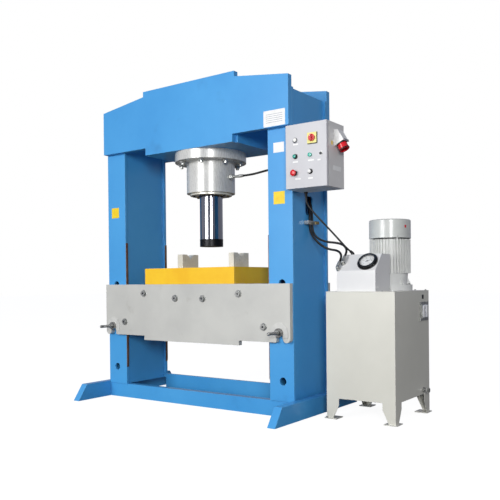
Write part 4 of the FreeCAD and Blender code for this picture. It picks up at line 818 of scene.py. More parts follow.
# ---------------------------------------------------------------- stage
@dataclass
class Stage:
    """Camera, lights and floor."""

    eye: tuple[float, float, float] = (3177.0, -3588.0, 888.0)
    yaw: float = 34.36
    pitch: float = -0.23
    roll: float = 0.55
    focal: float = 47.76
    sensor: float = 36.0
    shift: tuple[float, float] = (-0.0504, 0.068)
    clip: tuple[float, float] = (0.05, 200.0)
    key_place: tuple[float, float, float] = (-1.6, -8.4, 2.8)
    key_size: float = 3.6
    key_power: float = 430.0
    fill_place: tuple[float, float, float] = (5.4, -6.8, 2.6)
    fill_size: float = 2.0
    fill_power: float = 300.0
    sky_strength: tuple[float, float] = (0.42, 0.26)
    sky_tint: tuple[float, float, float, float] = (0.90, 0.93, 1.10, 1.0)
    floor_half: float = 40.0
    floor_tone: tuple[float, float, float, float] = (0.20, 0.20, 0.20, 1.0)
    floor_lift: float = 0.93

    def camera(self) -> None:
        """Place the camera: its axes are the yawed and pitched view, rolled about the sight."""
        yaw, pitch, roll = (math.radians(a) for a in (self.yaw, self.pitch, self.roll))
        ahead = np.array([-math.sin(yaw) * math.cos(pitch), math.cos(yaw) * math.cos(pitch),
                          math.sin(pitch)])
        right = np.array([math.cos(yaw), math.sin(yaw), 0.0])
        down = np.cross(ahead, right)
        across = math.cos(roll) * right + math.sin(roll) * down
        below = -math.sin(roll) * right + math.cos(roll) * down
        turn = Matrix(np.stack([across, -below, -ahead], -1).tolist()).to_4x4()
        data = bpy.data.cameras.new("camera")
        data.sensor_width, data.lens = self.sensor, self.focal
        data.shift_x, data.shift_y = self.shift
        data.clip_start, data.clip_end = self.clip
        camera = bpy.data.objects.new("camera", data)
        camera.matrix_world = Matrix.Translation(at(*self.eye).tolist()) @ turn
        bpy.context.scene.collection.objects.link(camera)
        bpy.context.scene.camera = camera

    def lamp(self, name: str, place: tuple[float, float, float], size: float, power: float,
             aim: tuple[float, float, float] = (0.0, 0.0, 1.0)) -> None:
        """Add a square soft light.

        Args:
            name: its name.
            place: its middle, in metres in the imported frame.
            size: its side.
            power: its power in watts.
            aim: the point it faces.
        """
        data = bpy.data.lights.new(name, "AREA")
        data.size, data.energy = size, power
        lamp = bpy.data.objects.new(name, data)
        back = unit(np.array(place) - np.array(aim))
        u = unit(np.cross(UP, back))
        turn = Matrix(np.stack([u, np.cross(back, u), back], -1).tolist()).to_4x4()
        lamp.matrix_world = Matrix.Translation(place) @ turn
        bpy.context.scene.collection.objects.link(lamp)

    def sky(self) -> None:
        """Pale surround, brighter on the operator's left than on the right."""
        world = bpy.data.worlds.new("studio")
        bpy.context.scene.world = world
        graph = Graph(world, "ShaderNodeOutputWorld")
        where = graph.add("ShaderNodeTexCoord")
        parts = graph.add("ShaderNodeSeparateXYZ")
        light = graph.add("ShaderNodeBackground", Color=self.sky_tint)
        pale = graph.add("ShaderNodeBackground", Color=PLAIN_WHITE)
        seen = graph.add("ShaderNodeLightPath")
        mix = graph.add("ShaderNodeMixShader")
        graph.join(where.outputs["Generated"], parts.inputs[0])
        graph.join(graph.spread(parts.outputs["X"], -1.0, 1.0, self.sky_strength),
                   light.inputs["Strength"])
        graph.join(seen.outputs["Is Camera Ray"], mix.inputs[0])
        graph.join(light.outputs[0], mix.inputs[1])
        graph.join(pale.outputs[0], mix.inputs[2])
        graph.join(mix.outputs[0], graph.output.inputs["Surface"])

    def floor(self) -> None:
        """Wide plain pale floor, lifted to the background's tone where it is seen directly."""
        half = self.floor_half
        mesh = bpy.data.meshes.new("floor")
        mesh.from_pydata([(-half, -half, 0), (half, -half, 0), (half, half, 0), (-half, half, 0)],
                         [], [(0, 1, 2, 3)])
        material = bpy.data.materials.new("studio_floor")
        graph = Graph(material)
        matt = graph.add("ShaderNodeBsdfDiffuse", Color=self.floor_tone)
        lift = graph.add("ShaderNodeEmission", Color=PLAIN_WHITE)
        seen = graph.add("ShaderNodeLightPath")
        both = graph.add("ShaderNodeAddShader")
        shown = graph.spread(seen.outputs["Is Camera Ray"], 0.0, 1.0, (0.0, self.floor_lift))
        graph.join(shown, lift.inputs["Strength"])
        graph.join(matt.outputs[0], both.inputs[0])
        graph.join(lift.outputs[0], both.inputs[1])
        graph.join(both.outputs[0], graph.output.inputs["Surface"])
        mesh.materials.append(material)
        floor = bpy.data.objects.new("floor", mesh)
        bpy.context.scene.collection.objects.link(floor)

    def build(self) -> None:
        """Set up the whole stage."""
        self.camera()
        self.sky()
        self.floor()
        self.lamp("key_light", self.key_place, self.key_size, self.key_power)
        self.lamp("fill_light", self.fill_place, self.fill_size, self.fill_power)
        bpy.context.scene.view_settings.view_transform = "Standard"
        LOG.info("stage ready")


# ---------------------------------------------------------------- sub-assemblies
@dataclass
class Lines:
    """The two oil hoses and the control cable, with their crimped ends."""

    hose_r: float = 7.5
    cable_r: float = 6.0
    slope_foot: tuple[float, float] = (180.0, 952.0)
    slope_head: tuple[float, float] = (275.0, 1058.0)
    fitting_off: float = 22.0
    last_run: float = 42.0
    port_x: float = 262.0
    port_z: tuple[float, float] = (1650.0, 2165.0)
    console_ends: tuple[tuple[float, float], ...] = ((1093.0, 58.0), (1115.0, 106.0))
    crimp_back: float = 30.0
    crimp_r: float = 11.2
    crimp_ribs: int = 4
    crimp_pitch: float = 6.0
    return_points: list[tuple[float, float, float]] = field(default_factory=lambda: [
        (300, 225, 1650), (372, 225, 1650), (448, 226, 1659), (526, 226, 1669), (600, 227, 1671),
        (668, 229, 1668), (726, 233, 1652), (772, 242, 1608), (793, 255, 1546), (800, 268, 1480),
        (814, 258, 1424), (845, 236, 1378), (862, 215, 1332), (863, 214, 1226), (884, 233, 1172),
        (925, 253, 1126), (980, 266, 1097), (1035, 269, 1090), (1072, 255, 1071)])
    feed_points: list[tuple[float, float, float]] = field(default_factory=lambda: [
        (300, 225, 2165), (372, 225, 2165), (452, 227, 2169), (540, 230, 2172), (620, 234, 2172),
        (690, 238, 2166), (746, 243, 2140), (780, 248, 2090), (792, 254, 2020), (796, 263, 1930),
        (793, 271, 1800), (796, 281, 1670), (799, 290, 1560), (806, 293, 1480), (822, 284, 1424),
        (848, 262, 1380), (862, 246, 1332), (863, 246, 1232), (878, 256, 1192), (912, 272, 1162),
        (962, 286, 1147), (1015, 293, 1142), (1062, 297, 1130), (1096, 285, 1107)])
    cable_points: list[tuple[float, float, float]] = field(default_factory=lambda: [
        (905, 101, 1438), (905, 101, 1410), (913, 107, 1383), (935, 121, 1350), (969, 142, 1303),
        (1012, 168, 1250), (1058, 197, 1190), (1098, 224, 1136), (1123, 247, 1099)])
    cable_knee: tuple[float, float, float] = (1143.0, 290.0, 1068.0)
    cable_last: float = 20.0

    def slope(self) -> tuple[Vec, Vec]:
        """Directions up the console's slope and away from it."""
        up = unit(np.array([0.0, self.slope_head[0] - self.slope_foot[0],
                            self.slope_head[1] - self.slope_foot[1]]))
        return up, np.cross(RIGHT, up)

    def on_slope(self, x: float, up: float, off: float) -> Vec:
        """Point over the console's slope.

        Args:
            x: place across the press.
            up: way up the slope.
            off: height off it.

        Returns:
            The point, in the press frame.
        """
        along, out = self.slope()
        return np.array([x, *self.slope_foot]) + up * along + off * out

    def line(self, name: str, node: str, points: list[Vec], radius: float, length: float,
             finish: Finish, slot: str, stiffness: str) -> None:
        """Make one line as a smooth spline with the points as its control points.

        Args:
            name: the piece's name.
            node: the CAD node it stands for.
            points: control points in the press frame.
            radius: the line's radius.
            length: its real length in metres.
            finish: its finish.
            slot: the record's slot, not used.
            stiffness: how stiff it is, not used.
        """
        curve = bpy.data.curves.new(name, "CURVE")
        curve.dimensions = "3D"
        curve.bevel_depth, curve.bevel_resolution = radius * MM, 6
        curve.resolution_u, curve.use_fill_caps = 10, True
        spline = curve.splines.new("NURBS")
        spline.points.add(len(points) - 1)
        for place, point in zip(spline.points, points):
            place.co = (*at(*point), 1.0)
        spline.order_u = 3
        spline.use_endpoint_u = True
        curve.materials.append(finish.material())
        piece = bpy.data.objects.new(name, curve)
        bpy.context.scene.collection.objects.link(piece)
        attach(piece, Body.PRESS.value)
        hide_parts(node)
        LOG.info("line %s: %.2f m", name, length)

    def crimps(self) -> None:
        """Ribbed crimp sleeves over the hose ends."""
        along = self.slope()[0]
        ends = [(np.array([self.port_x, RAM_Y, z]), RIGHT) for z in self.port_z]
        ends += [(self.on_slope(x, up - self.crimp_back, self.fitting_off), along)
                 for x, up in self.console_ends]
        sleeves = []
        for foot, axis in ends:
            steps = [(0.0, 0.0), (self.crimp_r - 0.6, 0.0)]
            for low in self.crimp_pitch * np.arange(self.crimp_ribs):
                steps += [(self.crimp_r, 1.0 + low), (self.crimp_r, 4.0 + low),
                          (self.crimp_r - 0.8, 5.0 + low)]
            top = self.crimp_pitch * self.crimp_ribs + 1.0
            sleeves.append(lathe(steps + [(0.0, top)], foot, axis, 32))
        make_piece("hose_crimps", sleeves, ZINC, Body.PRESS)

    def build(self) -> None:
        """Make the three lines and the crimps."""
        up = self.slope()[0]
        ends = []
        for x, rise in self.console_ends:
            end = self.on_slope(x, rise, self.fitting_off)
            ends.append([end + up * self.last_run, end])
        knee = np.array(self.cable_knee)
        way = unit(np.array(self.cable_points[-1], float) - knee)
        self.line("oil_return_hose", "return_hose", [*self.return_points, *ends[0]],
                  self.hose_r, 1.27, HOSE, "hose_rubber", "stiff")
        self.line("oil_feed_hose", "feed_hose", [*self.feed_points, *ends[1]],
                  self.hose_r, 1.76, HOSE, "hose_rubber", "stiff")
        self.line("motor_cable", "control_cable",
                  [*self.cable_points, knee + way * self.cable_last],
                  self.cable_r, 0.473, SHEATH, "cable_sheath", "medium")
        self.crimps()


@dataclass
class Portal:
    """Welded frame: uprights, crown, feet and ties."""

    opening_half: float = 675.0
    half: float = 865.0
    depth: float = 450.0
    flange: float = 20.0
    recess: float = 20.0
    bottom: float = 104.0
    crown_end: float = 1889.0
    crown_middle: float = 1836.0
    tie_front: float = 8.0
    tie_low: float = 12.0
    tie_height: float = 88.0
    foot_top: float = 116.0
    weld: float = 5.0
    weld_inset: float = 20.0
    scale_pitch: float = 14.0
    rating_plate: tuple[float, float, float, float] = (755.5, 1945.5, 169.0, 105.0)
    rule_size: tuple[float, float] = (130.0, 2.0)
    rule_top: float = 1972.0
    rule_pitch: float = 13.0
    rules: int = 5

    def upright_welds(self) -> list[Surface]:
        """Fillet welds in the four long corners of both uprights.

        Returns:
            The beads.
        """
        beads = []
        for side in (-1, 1):
            for x, out in ((self.opening_half + self.recess, -1), (self.half - self.recess, 1)):
                for y, inward in ((self.flange, 1), (self.depth - self.flange, -1)):
                    line = [np.array([side * x, y, z])
                            for z in (self.bottom + self.weld_inset, self.crown_middle)]
                    beads.append(bead(*line, side * out * RIGHT, inward * BACK, self.weld,
                                      self.scale_pitch))
        return beads

    def crown_welds(self) -> list[Surface]:
        """Welds under the crown's ends, in front and behind.

        Returns:
            The beads.
        """
        front, rear = extent("crown_front_plate")[1], extent("crown_rear_plate")[0]
        clear = 4.0
        beads = []
        for y, out in ((front[1], -BACK), (rear[1], BACK)):
            for side in (-1, 1):
                line = [np.array([side * x, y, self.crown_end])
                        for x in (self.opening_half + clear, self.half - clear)]
                beads.append(bead(*line, out, -UP, self.weld + 1))
        return beads

    def foot_welds(self) -> list[Surface]:
        """Welds of the ties and the uprights to the feet.

        Returns:
            The beads.
        """
        beads = []
        for side in (-1, 1):
            x = side * self.half
            low = np.array([x, self.tie_front, self.tie_low])
            beads.append(bead(low, low + self.tie_height * UP, -side * RIGHT, -BACK, self.weld))
            for y, out in ((0.0, -BACK), (self.depth, BACK)):
                foot = np.array([x, y, self.bottom + 2])
                beads.append(bead(foot, foot + 12 * UP, side * RIGHT, out, self.weld, 6.0))
            start = np.array([x, self.weld_inset, self.foot_top])
            run = self.depth - 2 * self.weld_inset
            beads.append(bead(start, start + run * BACK, side * RIGHT, UP, self.weld))
        return beads

    def plates(self) -> None:
        """Plain plates on the crown and on the uprights."""
        face = extent("crown_front_plate")[0][1]
        flange = extent("right_upright")[0][1]
        x, z, width, height = self.rating_plate
        plate = BlankPlate("rating_plate", (x, face, z), (width, height), LABEL, "white_plastic",
                           rivets=True)
        plate.build()
        rules = [slab(rounded(*self.rule_size, 0.9),
                      np.array([x, face - plate.thickness, self.rule_top - self.rule_pitch * k]),
                      RIGHT, UP, 0.12, 0.05) for k in range(self.rules)]
        make_piece("rating_plate_rules", rules, RULE, Body.PRESS)
        for name, x, z, width, height, finish, slot in (
                ("white_square", 762, 1761.5, 84, 65, LABEL, "white_plastic"),
                ("right_yellow_square", 762, 1433, 88, 82, YELLOW, "yellow_plastic"),
                ("left_yellow_square", -785, 1433.5, 80, 79, YELLOW, "yellow_plastic")):
            BlankPlate(name, (x, flange, z), (width, height), finish, slot).build()

    def build(self, nodes: dict[str, bpy.types.Object]) -> None:
        """Dress the frame and add its welds and plates.

        Args:
            nodes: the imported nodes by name.
        """
        blue = ("left_upright", "right_upright", "crown_front_plate", "crown_rear_plate",
                "crown_inner_plates", "right_foot", "left_foot", "foot_end_plates", "front_tie",
                "rear_tie", "box_bracket")
        dress(nodes, {name: FRAME_BLUE for name in blue} | {"guide_strips": GUIDE_RUST})
        for name, beads in (("upright_welds", self.upright_welds()),
                            ("crown_welds", self.crown_welds()),
                            ("foot_welds", self.foot_welds())):
            make_piece(name, beads, WELD_BLUE, Body.PRESS)
        self.plates()


@dataclass
class Ram:
    """Cylinder, its flange and the ram."""

    tube_r: float = 178.5
    tube_top: float = 2195.0
    flange_bottom: float = 1768.0
    gland_bottom: float = 1525.0
    rod_r: float = 85.0
    nose_top: float = 1203.0
    weld_scales: int = 90
    gland_screws: int = 8
    screw_circle: float = 125.0
    screw_steps: tuple[tuple[float, float], ...] = ((0, 0), (9, 0), (9, 8.5), (8.3, 9.2), (5, 9.2),
                                                    (4.6, 4), (0, 4))

    def build(self, nodes: dict[str, bpy.types.Object]) -> None:
        """Dress the cylinder and the ram, and add seals, welds and rings.

        Args:
            nodes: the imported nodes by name.
        """
        dress(nodes, {"cylinder_tube": CYLINDER_GREY, "cylinder_flange": CYLINDER_GREY,
                      "cylinder_gland": MILLED, "cylinder_head": CYLINDER_GREY,
                      "flange_studs": ZINC, "ram_rod": CHROME, "piston": MILLED,
                      "ram_nose": NOSE_BLACK, "nose_screw": DARK_NUT})
        centre = RAM_Y * BACK
        beads = [ring_bead(centre + z * UP, UP, self.tube_r, size, self.weld_scales)
                 for z, size in ((self.flange_bottom, 7.0), (self.tube_top, 5.0))]
        make_piece("cylinder_welds", beads, CYLINDER_GREY, Body.PRESS)
        low = centre + self.gland_bottom * UP
        lip = [(self.rod_r + out, h)
               for out, h in ((0.6, 0), (0.8, -5), (3, -6), (6, -1.5), (9, -1), (9, 0))]
        make_piece("rod_wiper", [lathe(lip, low, UP, 96, ring=True)], RUBBER, Body.PRESS)
        turn = 360 / self.gland_screws
        screws = [lathe(self.screw_steps, low + self.screw_circle * spoke(turn * k), -UP, 24)
                  for k in range(self.gland_screws)]
        make_piece("gland_screws", screws, DARK_NUT, Body.PRESS)
        groove = [(self.rod_r + out, h) for out, h in ((0.2, -1), (2.2, -1), (2.2, -6), (0.8, -7))]
        make_piece("nose_ring", [lathe(groove, centre + self.nose_top * UP, UP, 96, ring=True)],
                   NOSE_BLACK, Body.RAM)


@dataclass
class Table:
    """Working table, its pins, the press plate and the V-blocks."""

    pin_x: float = 778.0
    pin_z: float = 555.0
    handle_r: float = 8.0
    handle_reach: float = 105.0
    rod_spots: tuple[tuple[float, float], ...] = ((447.0, 807.0), (130.0, 772.0), (652.0, 589.0))
    head_h: float = 15.0
    rod_r: float = 12.5
    washer_r: float = 26.0
    washer_h: float = 3.0
    nut_across: float = 30.0
    nut_h: float = 13.0
    thread_pitch: float = 4.0

    def bolt_trim(self) -> None:
        """Washers under the tie rods' heads and the dark centre of each head."""
        front = extent("table_front_plate")[0][1]
        back = extent("table_rear_plate")[1][1]
        washers, centres = [], []
        for x, z in ((side * x, z) for x, z in self.rod_spots for side in (-1, 1)):
            for y, out in ((front, -BACK), (back, BACK)):
                washers.append(washer(np.array([x, y, z]), out, self.rod_r, self.washer_r,
                                      self.washer_h, 32))
            centres.append(lathe([(0, -0.3), (7, -0.3), (7, 0.3), (6, 0.5), (0, 0.5)],
                                 np.array([x, front - self.head_h, z]), -BACK, 24))
        make_piece("tie_rod_washers", washers, ZINC, Body.TABLE)
        make_piece("tie_rod_centres", centres, DARK_NUT, Body.TABLE)

    def pin_trim(self, side: int, body: Body) -> None:
        """Threaded grip and lock nut of one pin.

        Args:
            side: -1 for the left pin and 1 for the right one.
            body: the pin's body.
        """
        name = "left" if side < 0 else "right"
        tip = extent(f"{name}_pin")[0][1] + 1.4 * self.handle_r
        foot = np.array([side * self.pin_x, tip + 8, self.pin_z])
        grip = [threaded(foot, BACK, self.handle_r + 1.6, self.handle_reach - 30,
                         self.thread_pitch, 0.8)]
        make_piece(f"{name}_pin_thread", grip, PIN_STEEL, body)
        u, v = square_to(BACK)
        seat = foot + (self.handle_reach - 26) * BACK
        nut = [slab(regular(6, self.nut_across), seat, u, v, self.nut_h, 1.5)]
        make_piece(f"{name}_pin_nut", nut, ZINC, body)

    def build(self, nodes: dict[str, bpy.types.Object]) -> None:
        """Dress the table and its pins and add their small parts.

        Args:
            nodes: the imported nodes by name.
        """
        dress(nodes, {"table_front_plate": TABLE_GREY, "table_rear_plate": TABLE_GREY,
                      "notch_doublers": DOUBLER_GREY, "spacer_tubes": TABLE_GREY,
                      "through_bolts": ZINC, "press_plate": PLATE_YELLOW, "v_blocks": MILLED,
                      "left_pin": PIN_STEEL, "right_pin": PIN_STEEL})
        self.bolt_trim()
        self.pin_trim(-1, Body.PIN_LEFT)
        self.pin_trim(1, Body.PIN_RIGHT)


@dataclass
class ControlBox:
    """Control box with its door fittings and the supply inlet."""

    front: float = -83.0
    right: float = 1168.0
    switch: tuple[float, float] = (1066.0, 1770.0)
    supply_lamp: tuple[float, float] = (942.0, 1770.0)
    run_lamp: tuple[float, float] = (1050.0, 1667.0)
    start: tuple[float, float] = (943.0, 1667.0)
    stop: tuple[float, float] = (937.0, 1564.0)
    white: tuple[float, float] = (1052.0, 1564.0)
    lock: tuple[float, float] = (1127.0, 1667.0)
    door_labels: tuple[tuple[float, float, float], ...] = (
        (945, 1743, 38), (943, 1634, 38), (1057, 1633, 44), (1114, 1630, 22), (961, 1526, 40),
        (1052, 1523, 34))
    label_height: float = 10.0
    bezel_r: float = 15.0
    lamp_r: float = 12.1
    lamp_top: float = 9.0
    cap_r: float = 10.6
    cap_top: float = 18.0
    stop_r: float = 16.2
    stop_top: float = 26.0
    lock_r: float = 9.1
    collar_tilt: float = 62.0
    collar_foot: tuple[float, float, float] = (1202.9, 43.0, 1738.4)
    collar_length: float = 46.0
    collar_r: float = 31.0
    contacts: int = 5
    contact_circle: float = 14.0

    def spot(self, place: tuple[float, float], off: float = 0.0) -> Vec:
        """Point over the door's face."""
        return np.array([place[0], self.front - off, place[1]])

    def labels(self) -> None:
        """Small blank plates on the door and the case."""
        for k, (x, z, width) in enumerate(self.door_labels, 1):
            BlankPlate(f"door_label_{k}", (x, self.front, z), (width, self.label_height), LABEL,
                       "white_plastic", Body.DOOR, thickness=0.5).build()
        BlankPlate("case_label", (self.right, 45, 1586.5), (102, 29), LABEL, "white_plastic",
                   face=Face.SIDE, thickness=0.6).build()
        BlankPlate("case_mark", (self.right, -16, 1738), (18, 24), YELLOW, "yellow_plastic",
                   face=Face.SIDE, thickness=0.5, corner=1).build()

    def rings(self) -> None:
        """Rings round the lamps and buttons, a grey ring below the supply lamp as its painted
        shadow, and a black plate behind the switch plate as its painted shadow.
        """
        rings = [washer(self.spot(self.supply_lamp), -BACK, self.lamp_r, 15.0, 3.5)]
        rings += [washer(self.spot(place), -BACK, self.bezel_r + 0.1, self.bezel_r + 1.6, 1.6)
                  for place in (self.start, self.stop, self.white)]
        make_piece("fitting_rings", rings, BLACK, Body.DOOR)
        # painted shadow: a grey ring shifted down behind the supply lamp, showing as a dark
        # crescent below it
        low = self.spot((self.supply_lamp[0], self.supply_lamp[1] - 2.5))
        make_piece("supply_lamp_painted_shadow", [washer(low, -BACK, 14.0, 18.0, 2.5)], GREY_MOULD,
                   Body.DOOR)
        # painted shadow: a black plate set down and to the right behind the switch plate, showing
        # as a dark rim on its lower and right edges
        back = self.spot((self.switch[0] + 2.5, self.switch[1] - 2.5))
        make_piece("switch_plate_painted_shadow", [slab(rounded(71, 71, 3), back, RIGHT, UP, 3.4)], BLACK,
                   Body.DOOR)

    def caps(self) -> None:
        """Domed tops of the buttons, the switch's mark, the lenses and the lock's rim."""
        for place, finish, body, name, slot in (
                (self.start, GREEN, Body.START, "start_dome", "green_plastic"),
                (self.white, WHITE, Body.WHITE, "white_dome", "white_plastic")):
            make_piece(name, [dome(self.spot(place, self.cap_top), -BACK, self.cap_r, 2.4)],
                       finish, body)
        stop = dome(self.spot(self.stop, self.stop_top), -BACK, self.stop_r, 3.0)
        make_piece("stop_dome", [stop], RED, Body.STOP)
        top = extent("switch_knob")[0][1]
        mark = slab(rounded(3.0, 12.0, 1.2), np.array([self.switch[0], top, self.switch[1] + 12]),
                    RIGHT, UP, 0.6, 0.2)
        make_piece("switch_mark", [mark], WHITE, Body.SWITCH)
        hood_r = self.lamp_r + 0.9
        hood = [dome(self.spot(self.run_lamp, self.lamp_top), -BACK, hood_r, 1.4),
                washer(self.spot(self.run_lamp), -BACK, self.lamp_r, hood_r,
                       self.lamp_top - SET_IN)]
        make_piece("run_lamp_lens", hood, PALE_GREEN, Body.DOOR)
        lens = dome(self.spot(self.supply_lamp, self.lamp_top), -BACK, 9.0, 1.6)
        make_piece("supply_lamp_lens", [lens], LENS, Body.DOOR)
        rim = [washer(self.spot(self.lock), -BACK, self.lock_r, 12.0, 1.6)]
        make_piece("lock_rim", rim, ZINC, Body.DOOR)

    def inlet(self) -> None:
        """Black rims of the inlet's collar, the flap on its outer side and its contacts."""
        axis = spoke(self.collar_tilt, RIGHT, -UP)
        foot = np.array(self.collar_foot)
        rims = [washer(foot + h * axis, axis, self.collar_r - 1, self.collar_r + 2.6, 6.5)
                for h in (0.5, self.collar_length - 7)]
        make_piece("inlet_rims", rims, BLACK, Body.PRESS)
        across = np.array([-axis[2], 0.0, axis[0]])
        hinge = foot + (self.collar_r + 7.5) * across + 1.0 * axis
        flap = [slab(rounded(58, 14, 3), hinge, BACK, axis, 3.5, 0.8),
                lathe([(0, 0), (3.2, 0), (3.2, 58), (0, 58)], hinge - 29 * BACK - 4 * axis, BACK,
                      20)]
        make_piece("inlet_flap", flap, GREY_MOULD, Body.PRESS)
        root = foot + 8 * axis
        pins = []
        for k in range(self.contacts):
            way = spoke(360 * (k + 0.5) / self.contacts, BACK, across)
            pins.append(lathe([(0, 0), (2.4, 0), (2.4, 22), (1.8, 24), (0, 24.5)],
                              root + self.contact_circle * way, axis, 16))
        make_piece("inlet_contacts", pins, BRASS, Body.PRESS)

    def build(self, nodes: dict[str, bpy.types.Object]) -> None:
        """Dress the box and add the door's and the inlet's small parts.

        Args:
            nodes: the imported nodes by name.
        """
        dress(nodes, {"control_box": CASE_GREY_PAINTED_LIGHT, "box_door": BOX_GREY, "door_lock": DARK_NUT,
                      "switch_plate": CREAM, "switch_knob": RED, "start_button": GREEN,
                      "stop_button": RED, "white_button": WHITE, "button_bezels": BLACK,
                      "pilot_lamps": LENS, "inlet_housing": WHITE, "inlet_collar": RED})
        self.labels()
        self.rings()
        self.caps()
        self.inlet()


@dataclass
class PowerPack:
    """Tank, console, gauge and motor."""

    tank_x: tuple[float, float] = (1025.0, 1505.0)
    tank_y: tuple[float, float] = (140.0, 690.0)
    lid_top: float = 819.0
    bolt_inset: tuple[float, float] = (16.0, 14.0)
    motor: tuple[float, float] = (1289.0, 552.0)
    flange_top: float = 858.0
    flange_bolt_circle: float = 134.0
    neck_r: float = 112.0
    ribs: int = 8
    rib_shape: tuple[tuple[float, float], ...] = ((-14, -18), (17, -18), (17, -14), (-8, 34),
                                                  (-14, 34))
    rib_thickness: float = 6.0
    cowl_r: float = 139.0
    cowl_screw_z: float = 1178.0
    seam_z: tuple[float, float] = (1170.0, 1196.0)
    mark_turn: float = -19.0
    mark_z: float = 1243.0
    gauge_x: float = 1283.0
    gauge_up: float = 71.0
    rim_off: float = 8.0
    rim_screw_circle: float = 64.0
    dial_off: float = 7.0
    dial_r: float = 48.6
    dial_h: float = 0.6
    tick_circle: float = 44.0
    number_circle: float = 29.5
    number_height: float = 9.0
    number_relief: float = 0.08
    scale_from: float = 225.0
    scale_sweep: float = 270.0
    scale_top: int = 50
    scale_step: int = 10
    red_from: int = 45
    sight_gap: float = 48.0
    sight_spread: tuple[float, float] = (120.0, 104.0)
    drain_r: float = 13.5
    drain_half: float = 13.0
    clamp: tuple[float, float, float] = (893.0, 258.0, 1278.0)
    lines: Lines = field(default_factory=Lines)

    def gauge(self) -> None:
        """White dial with its scale, numbers and rim screws."""
        up, out = self.lines.slope()
        centre = self.lines.on_slope(self.gauge_x, self.gauge_up, self.dial_off)
        disc = [washer(centre, out, 2.2, self.dial_r, self.dial_h, 64)]
        make_piece("gauge_dial", disc, WHITE, Body.PRESS)
        face = centre + self.dial_h * out
        ticks, reds = [], []
        for mark in range(self.scale_top + 1):
            way = self.dial_way(mark, up)
            long, wide = (8.0, 1.3) if mark % 5 == 0 else (4.5, 0.7)
            foot = face + (self.tick_circle - long / 2) * way
            (reds if mark >= self.red_from else ticks).append(
                slab(rounded(long, wide, 0.2, 2), foot, way, np.cross(out, way), 0.2, 0.05))
        make_piece("gauge_ticks", ticks, BLACK, Body.PRESS)
        make_piece("gauge_red_ticks", reds, RED, Body.PRESS)
        for mark in range(0, self.scale_top + 1, self.scale_step):
            foot = face + self.number_circle * self.dial_way(mark, up)
            self.number(str(mark), foot, up, out)
        rim = centre + (self.rim_off - self.dial_off) * out
        screws = [dome(rim + self.rim_screw_circle * spoke(turn, RIGHT, up), out, 2.6, 1.6, 20)
                  for turn in (90, 210, 330)]
        make_piece("gauge_screws", screws, ZINC, Body.PRESS)

    def dial_way(self, mark: float, up: Vec) -> Vec:
        """Direction from the dial's middle to a mark of its scale.

        Args:
            mark: the scale's value there.
            up: direction up the dial.

        Returns:
            The unit vector.
        """
        return spoke(self.scale_from - self.scale_sweep * mark / self.scale_top, RIGHT, up)

    def number(self, text: str, foot: Vec, up: Vec, out: Vec) -> None:
        """One number of the gauge's scale, as a thin raised mesh.

        Args:
            text: the number.
            foot: its middle on the dial.
            up: direction of its height.
            out: direction away from the dial.
        """
        curve = bpy.data.curves.new(f"gauge_number_{text}", "FONT")
        curve.body, curve.size, curve.extrude = text, self.number_height, self.number_relief
        curve.align_x, curve.align_y = "CENTER", "CENTER"
        lettering = bpy.data.objects.new("lettering", curve)
        bpy.context.scene.collection.objects.link(lettering)
        graph = bpy.context.evaluated_depsgraph_get()
        mesh = bpy.data.meshes.new_from_object(lettering.evaluated_get(graph))
        bpy.data.objects.remove(lettering)
        flat = np.empty(len(mesh.vertices) * 3)
        mesh.vertices.foreach_get("co", flat)
        flat = flat.reshape(-1, 3)
        height = flat[:, 2:] + self.number_relief
        placed = foot + flat[:, :1] * RIGHT + flat[:, 1:2] * up + height * out
        mesh.vertices.foreach_set("co", ((placed - ORIGIN) * MM).ravel())
        mesh.materials.clear()
        finish_piece(f"gauge_number_{text}", mesh, BLACK, Body.PRESS)

    def motor_trim(self) -> None:
        """Ribs and bolts of the bell, the cowl's screws and seams and its red mark."""
        centre = np.array([*self.motor, 0.0])
        step = 360 / self.ribs
        ribs, bolts = [], []
        for k in range(self.ribs):
            way = spoke(step * (k + 0.5))
            side = np.cross(UP, way)
            foot = centre + (self.neck_r + 9) * way + (self.flange_top + 18) * UP
            ribs.append(slab(np.array(self.rib_shape, float), foot - self.rib_thickness / 2 * side,
                             way, UP, self.rib_thickness, 0.6))
            if k % 2:
                seat = centre + self.flange_bolt_circle * spoke(step * (k + 1))
                bolts += hex_bolt(seat + self.flange_top * UP, UP, 15.0, 8.0)
        screws = []
        for turn in (45, 135, 225, 315):
            way = spoke(turn)
            screws.append(dome(centre + self.cowl_r * way + self.cowl_screw_z * UP, way, 4.2, 2.6,
                               24))
        make_piece("bell_ribs", ribs, MOTOR_GREY, Body.PRESS)
        make_piece("bell_bolts", bolts, ZINC, Body.PRESS)
        make_piece("cowl_screws", screws, ZINC, Body.PRESS)
        fold = [(self.cowl_r + off, h) for off, h in ((-1, 0), (0.9, 0.6), (0.9, 3.4), (-1, 4))]
        seams = [lathe(fold, centre + z * UP, UP, 96, ring=True) for z in self.seam_z]
        make_piece("cowl_seams", seams, COWL_GREY, Body.PRESS)
        way = spoke(self.mark_turn)
        mark = slab(rounded(14, 18, 1), centre + (self.cowl_r - 0.8) * way + self.mark_z * UP,
                    np.cross(UP, way), UP, 1.4)
        make_piece("cowl_mark", [mark], RED, Body.PRESS)

